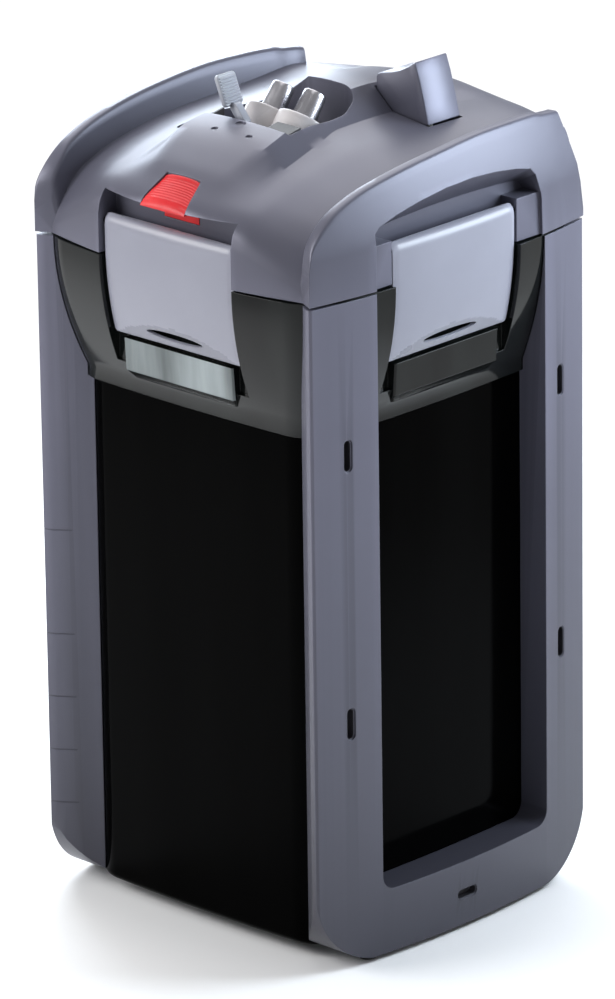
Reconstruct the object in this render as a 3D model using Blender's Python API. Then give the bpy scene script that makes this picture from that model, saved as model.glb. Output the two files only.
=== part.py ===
"""Canister filter for an aquarium: a smoked vessel in two U-shaped side frames, closed by a pump head.

Frame: +X to the right along the front, front faces -Y, +Z up. The origin is the footprint's centre on the
floor. Dimensions below are millimetres; MM turns them into metres when a mesh is made.
"""
import math

import bpy
from mathutils import Matrix, Vector

MM = 0.001

# Overall plan: half sizes at the corners, and how far each side bulges at its middle
HALF_X = 108.0
HALF_Y = 114.0
BULGE_X = 11.0
FRONT_MID = 122.0
FRONT_SAG = 12.6
FRONT_END_X = 98.6
GAP = 0.4

# Heights
FOOT_TOP = 4.0
FRAME_BOTTOM = 3.2
TUB_BOTTOM = 7.0
TUB_FLOOR = 11.0
RIM_LOW = 316.0
RIM_HIGH = 324.0
COLLAR_TOP = 401.6
FRAME_TOP = 401.0
HEAD_BOTTOM = 402.6

# Plan outlines as (half x, half y, bulge x, bulge y, corner radius)
LOWER_OUTLINE = (92.5, 96.0, 3.5, 3.0, 20.0)
RIM_OUTLINE = (95.0, 98.5, 3.5, 3.0, 20.0)
COLLAR_OUTLINE = (107.4, 109.5, 10.8, 11.8, 20.0)
TUB_WALL = 4.0
NECK = (91.0, 94.5, 20.0)
HOLLOW_LOW = 352.0

# Side frame
WINDOW = (-67.0, 74.0, 42.0)
WINDOW_RADIUS = 9.0
FRAME_CORNER_RADIUS = 46.0
PILLAR_INNER = (81.0, 93.5)
SLOT_Y = 89.0
SLOT_HEIGHTS = (150.0, 310.5)
SLOT_SIZE = (5.0, 18.0)
BAR_SLOT = (15.0, 5.0, 22.0)
SLOT_DEPTH = 5.0

# Feet
FOOT_X = 106.0
FOOT_Y = 71.0
FOOT_RADIUS = 5.2

# Clips: pin line, plate and the pockets they lie in
CLIP_HALF = 50.5
CLIP_PIN_Z = 421.0
CLIP_BOTTOM = 354.6
CLIP_THICK = 3.0
CLIP_PIN_RADIUS = 1.5
CLIP_BORE = 1.9
CLIP_CURVE = 2.0
CLIP_TUCK = 7.0
FRONT_CLIP_FACE = 117.8
SIDE_CLIP_FACE = 114.8
PIN_INBOARD = 5.2
POCKET_HALF = 52.0
POCKET_BACK = 14.3
POCKET_TOP = 439.5
POCKET_LOW = 336.0
CATCH = (43.0, 332.0, 352.0)

# Arch over each side clip: (y, z)
ARCH = ((-67.0, 396.0), (-67.0, 436.0), (-49.0, 443.0), (-10.0, 449.5), (32.0, 449.5), (65.0, 445.0),
        (71.0, 424.0), (72.0, 396.0))
SHOULDER_TOP = 428.0
SHOULDER_SETBACK = 3.4
ARCH_CEILING = 0.35
ARCH_LIP = 4.0

# Head surface, each table read by y at x = 0: heights of the spine, the flank and the edge at the wing
SPINE_Z = ((-122, 425), (-120, 439.5), (-114, 446), (-108, 450), (-93, 460), (-64, 473), (-18, 480),
           (25, 483.5), (60, 480), (96, 471), (119, 462), (122, 454))
FLANK_Z = ((-122, 424), (-120, 432), (-114, 439), (-108, 443.5), (-93, 450), (-64, 458), (-18, 464),
           (25, 465), (60, 464.5), (96, 463.5), (119, 458.5), (122, 450))
EDGE_Z = ((-122, 404), (-120, 409), (-114, 418), (-108, 424.5), (-93, 434), (-64, 442), (-18, 448.5),
          (25, 451.5), (60, 454.5), (96, 458.5), (119, 455.5), (122, 448))
SPINE_IN = ((-122, 22), (-108, 24), (-93, 28), (-69, 33), (-36, 27), (-16, 22), (20, 18), (122, 18))
SPINE_OUT = ((-122, 50), (-108, 49), (-84, 47), (-33, 40), (-10, 34), (34, 34), (122, 46))
FLANK_X = 60.0
ROWS = (-122, -120, -114, -108, -100, -93, -82, -64, -40, -18, 5, 25, 42, 60, 78, 96, 110, 119, 122)
SPINE_CROWN = 1.0
EDGE_SHARE = 0.88
SKIN = 4.0
CAVITY_X = 97.0
CAVITY_Y = 101.0

# Wing top edge by y, and the wing's thickness
WING_TOP = ((-114, 423), (-112.5, 433), (-106, 442.5), (-92, 452.5), (-64, 462), (-18, 469), (32, 472.5),
            (60, 472), (100, 467.5), (104.5, 453), (109, 437), (114, 409))
WING_THICK = 7.0
WING_END_THICK = 9.4
WING_CHAMFER = 1.4
WING_LEAN = 10.5
WING_LEAN_RISE = 49.0

# Hose adapter
ADAPTER_OUTLINE = ((-56, -52), (-31, -51.5), (32.5, -51.5), (31, -38), (29.6, -20), (28.6, 0), (23, 14),
                   (12, 19.5), (-20, 19.5), (-34, 12), (-42, -5), (-50, -28))
ADAPTER_FLOOR = 431.0
ADAPTER_TOP = 457.0
SLEEVE_BOTTOM = 420.0
SLEEVE_RADIUS = 11.8
SILL = (-30.4, 31.0, -50.8, -38.4)
SILL_TOP = (472.4, 474.6)
HOSE_X = (-12.3, 12.3)
HOSE_Y = -20.0
HOSE_LEAN = math.radians(38.0)
LOBE_CENTRE = (-16.8, 470.7)
LOBE_RADIUS = 15.2
LOBE_FRONT = -38.0
STUB_RADIUS = 7.4
STUB_TIP = 6.7
STUB_BORE = 5.4
STUB_LENGTH = 17.0
STUB_SOCKET = 4.0
PASSAGE = 5.0
SPIGOT_RADIUS = 8.6
SPIGOT_BOTTOM = 421.0
ORING_RADIUS = 1.2
VALVE_Z = 444.0
VALVE_RADIUS = 8.2
VALVE_HALF = 9.0

# Release lever
LEVER_PIVOT = (-7.0, 452.0)
LEVER_Y = -44.0
LEVER_SLOT = (-29.0, 13.0, -49.2, -37.0)
LEVER_SLOT_FLOOR = 443.0
LEVER_PIN_Y = (-50.3, -30.6)
LEVER_HALF = 2.4
LEVER_OUTLINE = ((-4.2, -2.0), (-2.4, -4.4), (2.4, -4.4), (4.2, -2.0), (4.2, 2.0), (2.6, 8.0), (2.2, 20.6),
                 (-5.6, 30.0), (-9.0, 30.0), (-10.0, 26.6), (-2.9, 18.2), (-2.6, 8.0), (-4.2, 2.0))
PADDLE_FOOT = (-9.3, 27.7)
PADDLE_TILT = math.radians(22.0)
PADDLE = (15.0, 19.0, 3.0)
LEVER_RIBS = 8

# Priming button and pump
BUTTON_PIVOT = (24.5, 473.5)
BUTTON_Y = (35.0, 62.0)
BUTTON_PROFILE = ((20.4, 471.6), (20.4, 487.0), (24.0, 489.2), (30.0, 490.6), (38.0, 493.0), (45.5, 496.8),
                  (50.5, 500.0), (54.0, 490.5), (57.5, 478.0), (60.6, 465.0), (54.0, 463.6), (34.0, 463.6),
                  (22.0, 469.6))
BUTTON_POCKET = (19.6, 61.8, 34.2, 62.8, 438.0)
PUMP_X = 48.0
PUMP_Y = 48.5
PUMP_BOTTOM = 404.0
PUMP_TOP = 434.0
PUMP_RADIUS = 9.0
PUMP_BORE = 7.3

# Flow window and its flap
LENS_LOW = (-119.6, 17.3)
LENS_HIGH = (-101.4, 13.0)
LENS_SKIRT = 429.0
FLAP_PIVOT = (-95.0, 443.0)
FLAP_SIZE = (20.0, 1.6, 13.0)

# Motor, shaft and impeller on the vertical axis at x = y = 0
MOTOR_HALF = 28.0
MOTOR_LOW = 372.0
MOTOR_HIGH = 416.0
FLANGE_HALF = 38.0
FLANGE_THICK = 3.0
WELL_RADIUS = 13.0
WELL_TOP = 404.0
SHAFT_RADIUS = 1.5
ROTOR_RADIUS = 12.0
ROTOR_BORE = 2.0
WHEEL_RADIUS = 21.0
BLADES = 7
COVER_RADIUS = 28.0
COVER_LOW = 351.0

# Head base
BASE_LOW = 388.0
BASE_HIGH = 402.0
GROOVE = (391.5, 396.5)
BASE_SKIN_Z = 396.8
SCREW_AT = (77.0, 78.0)
SCREW_RADIUS = 2.0
MOTOR_SCREW_AT = 33.0

# Baskets
BASKET_X = 82.0
BASKET_Y = (-86.0, 60.0)
BASKET_WALL = 2.2
BASKET_HEIGHT = 100.0
BASKET_LOW = (24.0, 126.0, 228.0)
BASKET_CORNER = 14.0
PIPE_AT = (0.0, 76.0)
PIPE_RADIUS = 10.0
GRID_RIBS = 16

GLAND_AT = (70.0, 414.0)
GLAND_Y = (88.0, 121.6)

ROUND = 24


# ---------------------------------------------------------------- helpers

def clear_scene():
    for obj in list(bpy.data.objects):
        bpy.data.objects.remove(obj, do_unlink=True)


def material(name, colour, roughness, metallic=0.0, alpha=1.0):
    found = bpy.data.materials.get(name)
    if found:
        return found
    mat = bpy.data.materials.new(name)
    mat.use_nodes = True
    shader = mat.node_tree.nodes["Principled BSDF"]
    shader.inputs["Base Color"].default_value = (*colour, 1.0)
    shader.inputs["Roughness"].default_value = roughness
    shader.inputs["Metallic"].default_value = metallic
    shader.inputs["Alpha"].default_value = alpha
    return mat


GREY = ("grey_plastic", (0.17, 0.18, 0.21), 0.55)
SILVER = ("silver_plastic", (0.42, 0.43, 0.47), 0.35, 0.3)
SMOKED = ("smoked_plastic", (0.01, 0.01, 0.012), 0.08, 0.0, 0.6)
PEARL = ("pearl_plastic", (0.55, 0.53, 0.50), 0.3, 0.4)
CHROME = ("dark_chrome", (0.25, 0.25, 0.27), 0.15, 1.0)
STEEL = ("steel", (0.6, 0.6, 0.6), 0.3, 1.0)
RED = ("red_window", (0.75, 0.05, 0.07), 0.2, 0.0, 0.7)
RUBBER = ("rubber", (0.02, 0.02, 0.02), 0.8)
BLACK = ("black_plastic", (0.03, 0.03, 0.035), 0.5)
WHITE = ("white_media", (0.75, 0.72, 0.66), 0.9)
BLUE = ("blue_foam", (0.05, 0.2, 0.45), 0.95)


def solid(name, points, faces, look=None):
    """One closed mesh from points in millimetres."""
    mesh = bpy.data.meshes.new(name)
    mesh.from_pydata([Vector(p) * MM for p in points], [], faces)
    mesh.validate()
    obj = bpy.data.objects.new(name, mesh)
    bpy.context.scene.collection.objects.link(obj)
    if look:
        mesh.materials.append(material(*look))
    return obj


def loft(name, rings, look=None):
    """Skin equal rings of points, with a flat face over the first and the last ring."""
    count = len(rings[0])
    points = [p for ring in rings for p in ring]
    faces = [list(range(count))[::-1]]
    for k in range(len(rings) - 1):
        for i in range(count):
            j = (i + 1) % count
            faces.append([k * count + i, k * count + j, (k + 1) * count + j, (k + 1) * count + i])
    faces.append([(len(rings) - 1) * count + i for i in range(count)])
    obj = solid(name, points, faces, look)
    face_out(obj)
    return obj


def face_out(obj):
    """Turn a closed mesh's faces outwards when its signed volume is negative."""
    mesh = obj.data
    mesh.calc_loop_triangles()
    volume = 0.0
    for tri in mesh.loop_triangles:
        a, b, c = (mesh.vertices[i].co for i in tri.vertices)
        volume += a.dot(b.cross(c))
    if volume < 0.0:
        mesh.flip_normals()


def prism(name, outline, low, high, axis="Z", look=None):
    """Extrude a flat outline along X, Y or Z."""
    turns = {"Z": lambda a, b, c: (a, b, c), "X": lambda a, b, c: (c, a, b), "Y": lambda a, b, c: (a, c, b)}
    place = turns[axis]
    rings = [[place(a, b, level) for a, b in outline] for level in (low, high)]
    return loft(name, rings, look)


def box(name, low, high, look=None):
    outline = ((low[0], low[1]), (high[0], low[1]), (high[0], high[1]), (low[0], high[1]))
    return prism(name, outline, low[2], high[2], "Z", look)


def circle(radius, count=ROUND, centre=(0.0, 0.0)):
    step = math.tau / count
    across, up = centre
    return [(across + radius * math.cos(i * step), up + radius * math.sin(i * step)) for i in range(count)]


def rod(name, start, end, radius, look=None, count=ROUND):
    return turned(name, start, end, ((0.0, radius), (1.0, radius)), look, count)


def turned(name, start, end, profile, look=None, count=ROUND):
    """Turn (fraction along, radius) pairs about the line from start to end."""
    start = Vector(start)
    along = Vector(end) - start
    spin = along.to_track_quat("Z", "Y").to_matrix()
    rings = []
    for part, radius in profile:
        rings.append([start + along * part + spin @ Vector((a, b, 0.0)) for a, b in circle(radius, count)])
    return loft(name, rings, look)


def ring(name, centre, radius, thickness, look=None, count=18, sides=6):
    """A torus about a vertical axis."""
    points = []
    for i in range(count):
        turn = math.tau * i / count
        for k in range(sides):
            angle = math.tau * k / sides
            reach = radius + thickness * math.cos(angle)
            points.append((centre[0] + reach * math.cos(turn), centre[1] + reach * math.sin(turn),
                           centre[2] + thickness * math.sin(angle)))
    faces = []
    for i in range(count):
        n = (i + 1) % count
        for k in range(sides):
            m = (k + 1) % sides
            faces.append([i * sides + k, n * sides + k, n * sides + m, i * sides + m])
    obj = solid(name, points, faces, look)
    face_out(obj)
    return obj


def combine(obj, other, operation):
    other.hide_render = True
    other.display_type = "WIRE"
    step = obj.modifiers.new(operation.lower(), "BOOLEAN")
    step.operation = operation
    step.solver = "EXACT"
    step.object = other
    return obj


def cut(obj, *cutters):
    for cutter in cutters:
        combine(obj, cutter, "DIFFERENCE")
    return obj


def join(obj, *others):
    for other in others:
        combine(obj, other, "UNION")
    return obj


def set_origin(obj, point):
    """Move an object's origin to a point without moving its mesh in the world."""
    shift = Vector(point) * MM
    obj.data.transform(Matrix.Translation(-shift))
    obj.location = shift


def table(pairs, at):
    """Read a table of (position, value) pairs, straight between its entries."""
    if at <= pairs[0][0]:
        return pairs[0][1]
    for (a, low), (b, high) in zip(pairs, pairs[1:]):
        if at <= b:
            return low + (high - low) * (at - a) / (b - a)
    return pairs[-1][1]


def bulged(outline, inset=0.0, corner_steps=4, side_steps=4):
    """A rounded rectangle whose sides bulge, as (x, y) points, moved in by inset."""
    half_x, half_y, bulge_x, bulge_y, radius = outline
    half_x -= inset
    half_y -= inset
    radius = max(radius - inset, 3.0)
    quarter = []
    for k in range(1, side_steps):
        quarter.append((half_x, (half_y - radius) * math.sin(0.5 * math.pi * k / side_steps)))
    for k in range(corner_steps + 1):
        angle = 0.5 * math.pi * k / corner_steps
        x = half_x - radius + radius * math.cos(angle)
        y = half_y - radius + radius * math.sin(angle)
        quarter.append((x, y))
    for k in range(side_steps - 1, 0, -1):
        quarter.append(((half_x - radius) * math.sin(0.5 * math.pi * k / side_steps), half_y))
    points = [(half_x, 0.0)] + quarter + [(0.0, half_y)] + [(-x, y) for x, y in reversed(quarter)]
    points += [(-half_x, 0.0)] + [(-x, -y) for x, y in quarter] + [(0.0, -half_y)]
    points += [(x, -y) for x, y in reversed(quarter)]
    out = []
    for x, y in points:
        out.append((x * (1.0 + bulge_x / half_x * max(0.0, 1.0 - (y / half_y) ** 2)),
                    y * (1.0 + bulge_y / half_y * max(0.0, 1.0 - (x / half_x) ** 2))))
    return out


def inset_outline(points, distance):
    """Move each edge of an anticlockwise outline inwards."""
    moved = []
    count = len(points)
    for i in range(count):
        before, here, after = (Vector(points[(i + k) % count]) for k in (-1, 0, 1))
        first = (here - before).normalized()
        second = (after - here).normalized()
        normal_1 = Vector((-first.y, first.x))
        normal_2 = Vector((-second.y, second.x))
        mitre = (normal_1 + normal_2) / (1.0 + normal_1.dot(normal_2))
        moved.append(tuple(here + mitre * distance))
    return moved


def rounded_box(low, high, radius, steps=4):
    """Outline of a rectangle with round corners."""
    points = []
    centres = ((high[0] - radius, high[1] - radius, 0), (low[0] + radius, high[1] - radius, 1),
               (low[0] + radius, low[1] + radius, 2), (high[0] - radius, low[1] + radius, 3))
    for x, y, quarter in centres:
        for k in range(steps + 1):
            angle = 0.5 * math.pi * (quarter + k / steps)
            points.append((x + radius * math.cos(angle), y + radius * math.sin(angle)))
    return points


def side_x(y):
    """The outer side face's x at y."""
    return HALF_X + BULGE_X * (1.0 - (y / HALF_Y) ** 2)


# ---------------------------------------------------------------- vessel

def tub_rings(inset, grow=0.0):
    """Outer or inner rings of the vessel, bottom to top; grow lifts the skin outwards."""
    move = inset - grow
    rings = [[(x, y, TUB_BOTTOM + inset - grow) for x, y in bulged(LOWER_OUTLINE, move + 5.0)],
             [(x, y, TUB_BOTTOM + inset + 5.0) for x, y in bulged(LOWER_OUTLINE, move)],
             [(x, y, RIM_LOW - inset) for x, y in bulged(LOWER_OUTLINE, move)]]
    low = bulged(RIM_OUTLINE, move)
    high = bulged(COLLAR_OUTLINE, move)
    rings.append([(x, y, RIM_LOW + 1.0 - inset) for x, y in low])
    rings.append([(x, y, RIM_HIGH) for x, y in low])
    for t in (0.15, 0.3, 0.5, 0.75, 1.0):
        share = 1.0 - (1.0 - t) ** 2
        level = RIM_HIGH + (COLLAR_TOP - RIM_HIGH) * t
        if t == 1.0:
            level += max(inset, grow)
        pairs = zip(low, high)
        rings.append([(a + (c - a) * share, b + (d - b) * share, level) for (a, b), (c, d) in pairs])
    return rings


def clip_pocket(name, side, back, low, high, half=POCKET_HALF, outer=135.0):
    """A box across one side's clip pocket; side is front, rear, left or right."""
    if side == "front":
        return box(name, (-half, -outer, low), (half, -back, high))
    if side == "rear":
        return box(name, (-half, back, low), (half, outer, high))
    if side == "left":
        return box(name, (-outer, -half, low), (-back, half, high))
    return box(name, (back, -half, low), (outer, half, high))


SIDES = {"front": FRONT_CLIP_FACE, "rear": FRONT_CLIP_FACE, "left": SIDE_CLIP_FACE, "right": SIDE_CLIP_FACE}


def catch_block(name, side):
    """A block that the clip snaps over, wider at its foot and leaning back like the collar."""
    half, low, high = CATCH
    face = SIDES[side] - 8.6
    rings = []
    stages = ((low - 5.0, half - 3.0, face - 6.0), (low, half, face - 1.6), (high, half, face + 0.2))
    for level, reach, out in stages:
        back = SIDES[side] - POCKET_BACK - 2.0
        outline = ((-reach, -out), (reach, -out), (reach, -back), (-reach, -back))
        rings.append([turned_point(side, x, y, level) for x, y in outline])
    return loft(name, rings)


def turned_point(side, x, y, z):
    """Turn a point laid out for the front side to another side."""
    if side == "rear":
        return (-x, -y, z)
    if side == "right":
        return (-y, x, z)
    if side == "left":
        return (y, -x, z)
    return (x, y, z)


def neck_outline(inset):
    """Plan of the straight neck inside the collar, moved in by inset."""
    half_x, half_y, radius = NECK
    return rounded_box((inset - half_x, inset - half_y), (half_x - inset, half_y - inset), radius - inset, 5)


def make_tub():
    """The vessel: a straight inner wall up to the neck, and a hollow flared collar round it."""
    tub = loft("canister_tub", tub_rings(0.0), SMOKED)
    hollow = loft("collar_hollow", tub_rings(TUB_WALL))
    cut(hollow, prism("neck_wall", neck_outline(-3.1), 0.0, 450.0))
    cut(hollow, box("below_collar", (-150.0, -150.0, 0.0), (150.0, 150.0, HOLLOW_LOW)))
    for side in SIDES:
        cut(hollow, clip_pocket("lining_" + side, side, 60.0, 300.0, 420.0, POCKET_HALF + TUB_WALL))
    cut(tub, hollow)
    inside = [[(x, y, level) for x, y in bulged(LOWER_OUTLINE, inset)]
              for level, inset in ((TUB_FLOOR, 9.0), (TUB_FLOOR + 5.0, TUB_WALL), (RIM_LOW - 8.0, TUB_WALL))]
    cut(tub, loft("tub_inside", inside))
    cut(tub, prism("neck_inside", neck_outline(0.0), RIM_LOW - 9.0, 450.0))
    for side, face in SIDES.items():
        cut(tub, clip_pocket("collar_pocket_" + side, side, face - POCKET_BACK, POCKET_LOW, 410.0))
        join(tub, catch_block("catch_" + side, side))
    return tub


def make_frame(name, sign):
    """A U-shaped side frame: two pillars joined by a bottom bar, its faces following the vessel."""
    edge = [(side_x(y), y) for y in (-108.0, -90.0, -60.0, -30.0, 0.0, 30.0, 60.0, 90.0, 108.0)]
    inner_x, inner_y = PILLAR_INNER
    corner = [(inner_x, -inner_y), (90.5, -103.2), (FRONT_END_X, -109.4), (104.0, -113.2), (108.0, -113.6)]
    plan = corner + edge + [(x, -y) for x, y in reversed(corner)]
    frame = prism(name, [(sign * x, y) for x, y in plan], FRAME_BOTTOM, FRAME_TOP, "Z", GREY)
    radius = FRAME_CORNER_RADIUS
    profile = [(130.0, 420.0), (-130.0, 420.0)]
    for k in range(7):
        angle = math.pi + 0.5 * math.pi * k / 6
        profile.append((-HALF_Y + 1.0 + radius + (radius + 1.0) * math.cos(angle),
                        FRAME_BOTTOM + radius + (radius + 0.6) * math.sin(angle)))
    profile += [(-y, z) for y, z in reversed(profile[2:])]
    combine(frame, prism(name + "_profile", profile, sign * 60.0, sign * 140.0, "X"), "INTERSECT")
    low_y, high_y, low_z = WINDOW
    window = rounded_box((low_y, low_z), (high_y, 430.0), WINDOW_RADIUS)
    cut(frame, prism(name + "_window", window, sign * 60.0, sign * 140.0, "X"))
    cut(frame, loft(name + "_vessel", tub_rings(0.0, GAP)))
    for y in (-SLOT_Y, SLOT_Y):
        for z in SLOT_HEIGHTS:
            obround(name, sign, y, z, SLOT_SIZE[0], SLOT_SIZE[1], frame)
    obround(name, sign, 0.0, BAR_SLOT[2], BAR_SLOT[0], BAR_SLOT[1], frame)
    for y in (-FOOT_Y, FOOT_Y):
        top = (sign * FOOT_X, y, FOOT_TOP + 6.0)
        socket = rod(name + "_socket", (sign * FOOT_X, y, 0.0), top, 3.0, None, 12)
        cut(frame, socket)
    return frame


def obround(name, sign, y, z, width, height, frame):
    """Cut a round-ended slot into the frame's outer face."""
    radius = 0.5 * min(width, height) - 0.01
    outline = rounded_box((y - width / 2, z - height / 2), (y + width / 2, z + height / 2), radius, 3)
    depth = side_x(y) - SLOT_DEPTH
    cut(frame, prism(name + "_slot", outline, sign * depth, sign * 130.0, "X"))


def make_foot(name, x, y):
    """A rubber knob with a stem that plugs into the frame."""
    profile = ((0.0, FOOT_RADIUS - 1.4), (0.1, FOOT_RADIUS - 0.3), (0.2, FOOT_RADIUS), (0.295, FOOT_RADIUS),
               (0.3, 2.6), (1.0, 2.4))
    foot = turned(name, (x, y, 0.0), (x, y, 9.6), profile, RUBBER, 12)
    return foot


def make_floor_grid():
    """Radial ribs on the vessel's floor that hold the lowest basket up and let water spread."""
    hub = turned("floor_grid", (0, 0, TUB_FLOOR + 0.4), (0, 0, 23.0), ((0.0, 16.0), (1.0, 13.0)), BLACK)
    for k in range(GRID_RIBS):
        angle = math.tau * k / GRID_RIBS
        reach = min(80.0 / max(abs(math.cos(angle)), 0.01), 84.0 / max(abs(math.sin(angle)), 0.01), 88.0)
        rib = box("rib_%d" % k, (10.0, -1.2, TUB_FLOOR + 0.4), (reach, 1.2, 21.0))
        rib.rotation_euler.z = angle
        join(hub, rib)
    cut(hub, rod("hub_hole", (0, 0, 8.0), (0, 0, 26.0), 8.0))
    return hub


def make_pipe():
    x, y = PIPE_AT
    pipe = rod("intake_pipe", (x, y, 26.0), (x, y, 386.0), PIPE_RADIUS, BLACK)
    bore = rod("pipe_bore", (x, y, 20.0), (x, y, 390.0), PIPE_RADIUS - 2.0)
    mouth = box("pipe_mouth", (x - 20.0, y - 4.0, 20.0), (x + 20.0, y + 4.0, 44.0))
    return cut(pipe, bore, mouth)


def make_basket(name, low):
    outline = rounded_box((-BASKET_X, BASKET_Y[0]), (BASKET_X, BASKET_Y[1]), BASKET_CORNER)
    basket = prism(name, outline, low, low + BASKET_HEIGHT, "Z", BLACK)
    inner = inset_outline(outline, BASKET_WALL)
    cut(basket, prism(name + "_inside", inner, low + BASKET_WALL, low + BASKET_HEIGHT + 5.0))
    for k in range(-3, 4):
        x = 21.0 * k
        cut(basket, box(name + "_slot", (x - 3.0, -74.0, low - 5.0), (x + 3.0, 48.0, low + 5.0)))
    return basket


def basket_fill(name, low, start, height, look):
    outline = rounded_box((-BASKET_X, BASKET_Y[0]), (BASKET_X, BASKET_Y[1]), BASKET_CORNER)
    inner = inset_outline(outline, BASKET_WALL + 0.8)
    return prism(name, inner, low + start, low + start + height, "Z", look)


# ---------------------------------------------------------------- head

def end_limit(x):
    """How far the front and rear faces reach at x."""
    return FRONT_MID - FRONT_SAG * min(1.3, (x / FRONT_END_X) ** 2)


def wing_lean(z):
    """How far a wing has leant inwards at a height."""
    return WING_LEAN * max(0.0, (z - SHOULDER_TOP) / WING_LEAN_RISE) ** 1.3


def lid_edge(row):
    """How far the dome reaches sideways in a row, a little inside the wing's outer face."""
    return side_x(EDGE_SHARE * row) - 4.0 - wing_lean(table(EDGE_Z, row))


def head_height(x, row):
    """Height of the head's top at x, in the row that crosses x = 0 at y = row."""
    spine = table(SPINE_Z, row)
    flank = table(FLANK_Z, row)
    edge = table(EDGE_Z, row)
    inner = table(SPINE_IN, row)
    outer = table(SPINE_OUT, row)
    across = abs(x)
    side = lid_edge(row)
    slope = (edge - flank) / (side - FLANK_X)
    if across <= inner:
        return spine - SPINE_CROWN * (across / inner) ** 2
    shoulder = flank + 0.5 * slope * (outer - FLANK_X)
    if across <= outer:
        return spine - SPINE_CROWN + (shoulder - spine + SPINE_CROWN) * (across - inner) / (outer - inner)
    if across <= FLANK_X:
        return flank + 0.5 * slope * (across - FLANK_X)
    return flank + slope * (across - FLANK_X)


def lid_solid(name, drop, low, reach_x=None, reach_y=None, look=None):
    """The head's domed body as a grid of rows and columns, closed below by a flat bottom."""
    shrink = 1.0 if reach_y is None else reach_y / FRONT_MID
    columns = []
    for row in ROWS:
        side = lid_edge(row) if reach_x is None else reach_x
        inner = table(SPINE_IN, row)
        outer = table(SPINE_OUT, row)
        middle = 0.5 * (FLANK_X + side)
        half = [0.5 * inner, inner, 0.5 * (inner + outer), outer, FLANK_X + 2.0, middle, side]
        across = [-x for x in reversed(half)] + [0.0] + half
        columns.append([(x, row * shrink * end_limit(x) / FRONT_MID, row) for x in across])
    top = []
    for line in columns:
        top.append([(x, y, head_height(x, max(-122, min(122, row * shrink))) - drop) for x, y, row in line])
    wide = len(top[0])
    points = [p for line in top for p in line]
    points += [(x, y, low) for line in top for x, y, z in line]
    half_count = len(top) * wide
    faces = []
    for r in range(len(top) - 1):
        for c in range(wide - 1):
            a = r * wide + c
            faces.append([a, a + 1, a + wide + 1, a + wide])
            faces.append([half_count + i for i in (a, a + wide, a + wide + 1, a + 1)])
    border = list(range(wide)) + [r * wide + wide - 1 for r in range(1, len(top))]
    border += [(len(top) - 1) * wide + c for c in range(wide - 2, -1, -1)]
    border += [r * wide for r in range(len(top) - 2, 0, -1)]
    for i, a in enumerate(border):
        b = border[(i + 1) % len(border)]
        faces.append([a, half_count + a, half_count + b, b])
    obj = solid(name, points, faces, look)
    face_out(obj)
    return obj


def wing(name, sign):
    """A side wing: a plate that follows the side face and leans inwards towards its curved top edge."""
    rings = []
    bevel = WING_CHAMFER
    for y, top in WING_TOP:
        outer = side_x(y)
        end = max(0.0, (abs(y) - 92.0) / 22.0)
        thick = WING_THICK + (WING_END_THICK - WING_THICK) * end
        lean_y = -4.4 * end * math.copysign(1.0, y)
        start = max(HEAD_BOTTOM, min(SHOULDER_TOP, top - 8.0))
        high = top - bevel
        levels = (HEAD_BOTTOM - 1.0, start, 0.5 * (start + high), high)
        section = [(0.0, z) for z in levels] + [(bevel, top), (thick - bevel, top)]
        section += [(thick, z) for z in reversed(levels)]
        rings.append([(sign * (outer - x - wing_lean(z)), y + lean_y * x / thick, z) for x, z in section])
    return loft(name, rings)


def lens_solid(name, grow, look=None):
    """The flow window: a slab along the head's surface and a block through the clip bay's back wall."""
    (low_y, low_half), (high_y, high_half) = LENS_LOW, LENS_HIGH
    wall = -(FRONT_CLIP_FACE - POCKET_BACK)
    lift = 0.0 if grow == 0.0 else 4.0
    rings = []
    for y in (low_y, -118.0, -113.0, -108.0, wall - 0.3 - grow, wall - 0.2 - grow, high_y):
        share = (y - low_y) / (high_y - low_y)
        half = low_half + (high_half - low_half) * share + grow
        place = y + (grow if y == high_y else 0.0) - (5.0 if y == low_y and grow > 0.0 else 0.0)
        top = table(SPINE_Z, y) - 0.2 + lift
        bottom = POCKET_TOP - 1.2 - grow if y < wall - 0.25 - grow else LENS_SKIRT - grow
        rings.append([(-half, place, bottom), (half, place, bottom), (half, place, top - SPINE_CROWN),
                      (0.0, place, top), (-half, place, top - SPINE_CROWN)])
    return loft(name, rings, look)


def side_pocket(name, sign):
    """Everything cut out of one side for its clip: the arch, the shoulders and the clip's own bay."""
    back = SIDE_CLIP_FACE - POCKET_BACK
    upper = [(ARCH[0][0], SHOULDER_TOP)] + list(ARCH[1:-2]) + [(ARCH[-2][0] - 0.8, SHOULDER_TOP)]
    rings = []
    for x, rise in ((back, ARCH_CEILING), (side_x(0.0) - ARCH_LIP, 1.0), (140.0, 1.0)):
        rings.append([(sign * x, y, SHOULDER_TOP + (z - SHOULDER_TOP) * rise) for y, z in upper])
    deep = loft(name + "_arch", rings)
    bay = box(name + "_bay", (min(sign * back, sign * 140.0), -POCKET_HALF, 390.0),
              (max(sign * back, sign * 140.0), POCKET_HALF, SHOULDER_TOP + 2.0))
    high = SHOULDER_TOP + 0.5
    shallow = [ARCH[0], (ARCH[0][0], high), (ARCH[-2][0] - 0.8, high), *ARCH[-2:]]
    face = side_x(60.0) - SHOULDER_SETBACK
    step = prism(name + "_step", shallow, sign * face, sign * 140.0, "X")
    return deep, bay, step


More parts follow.
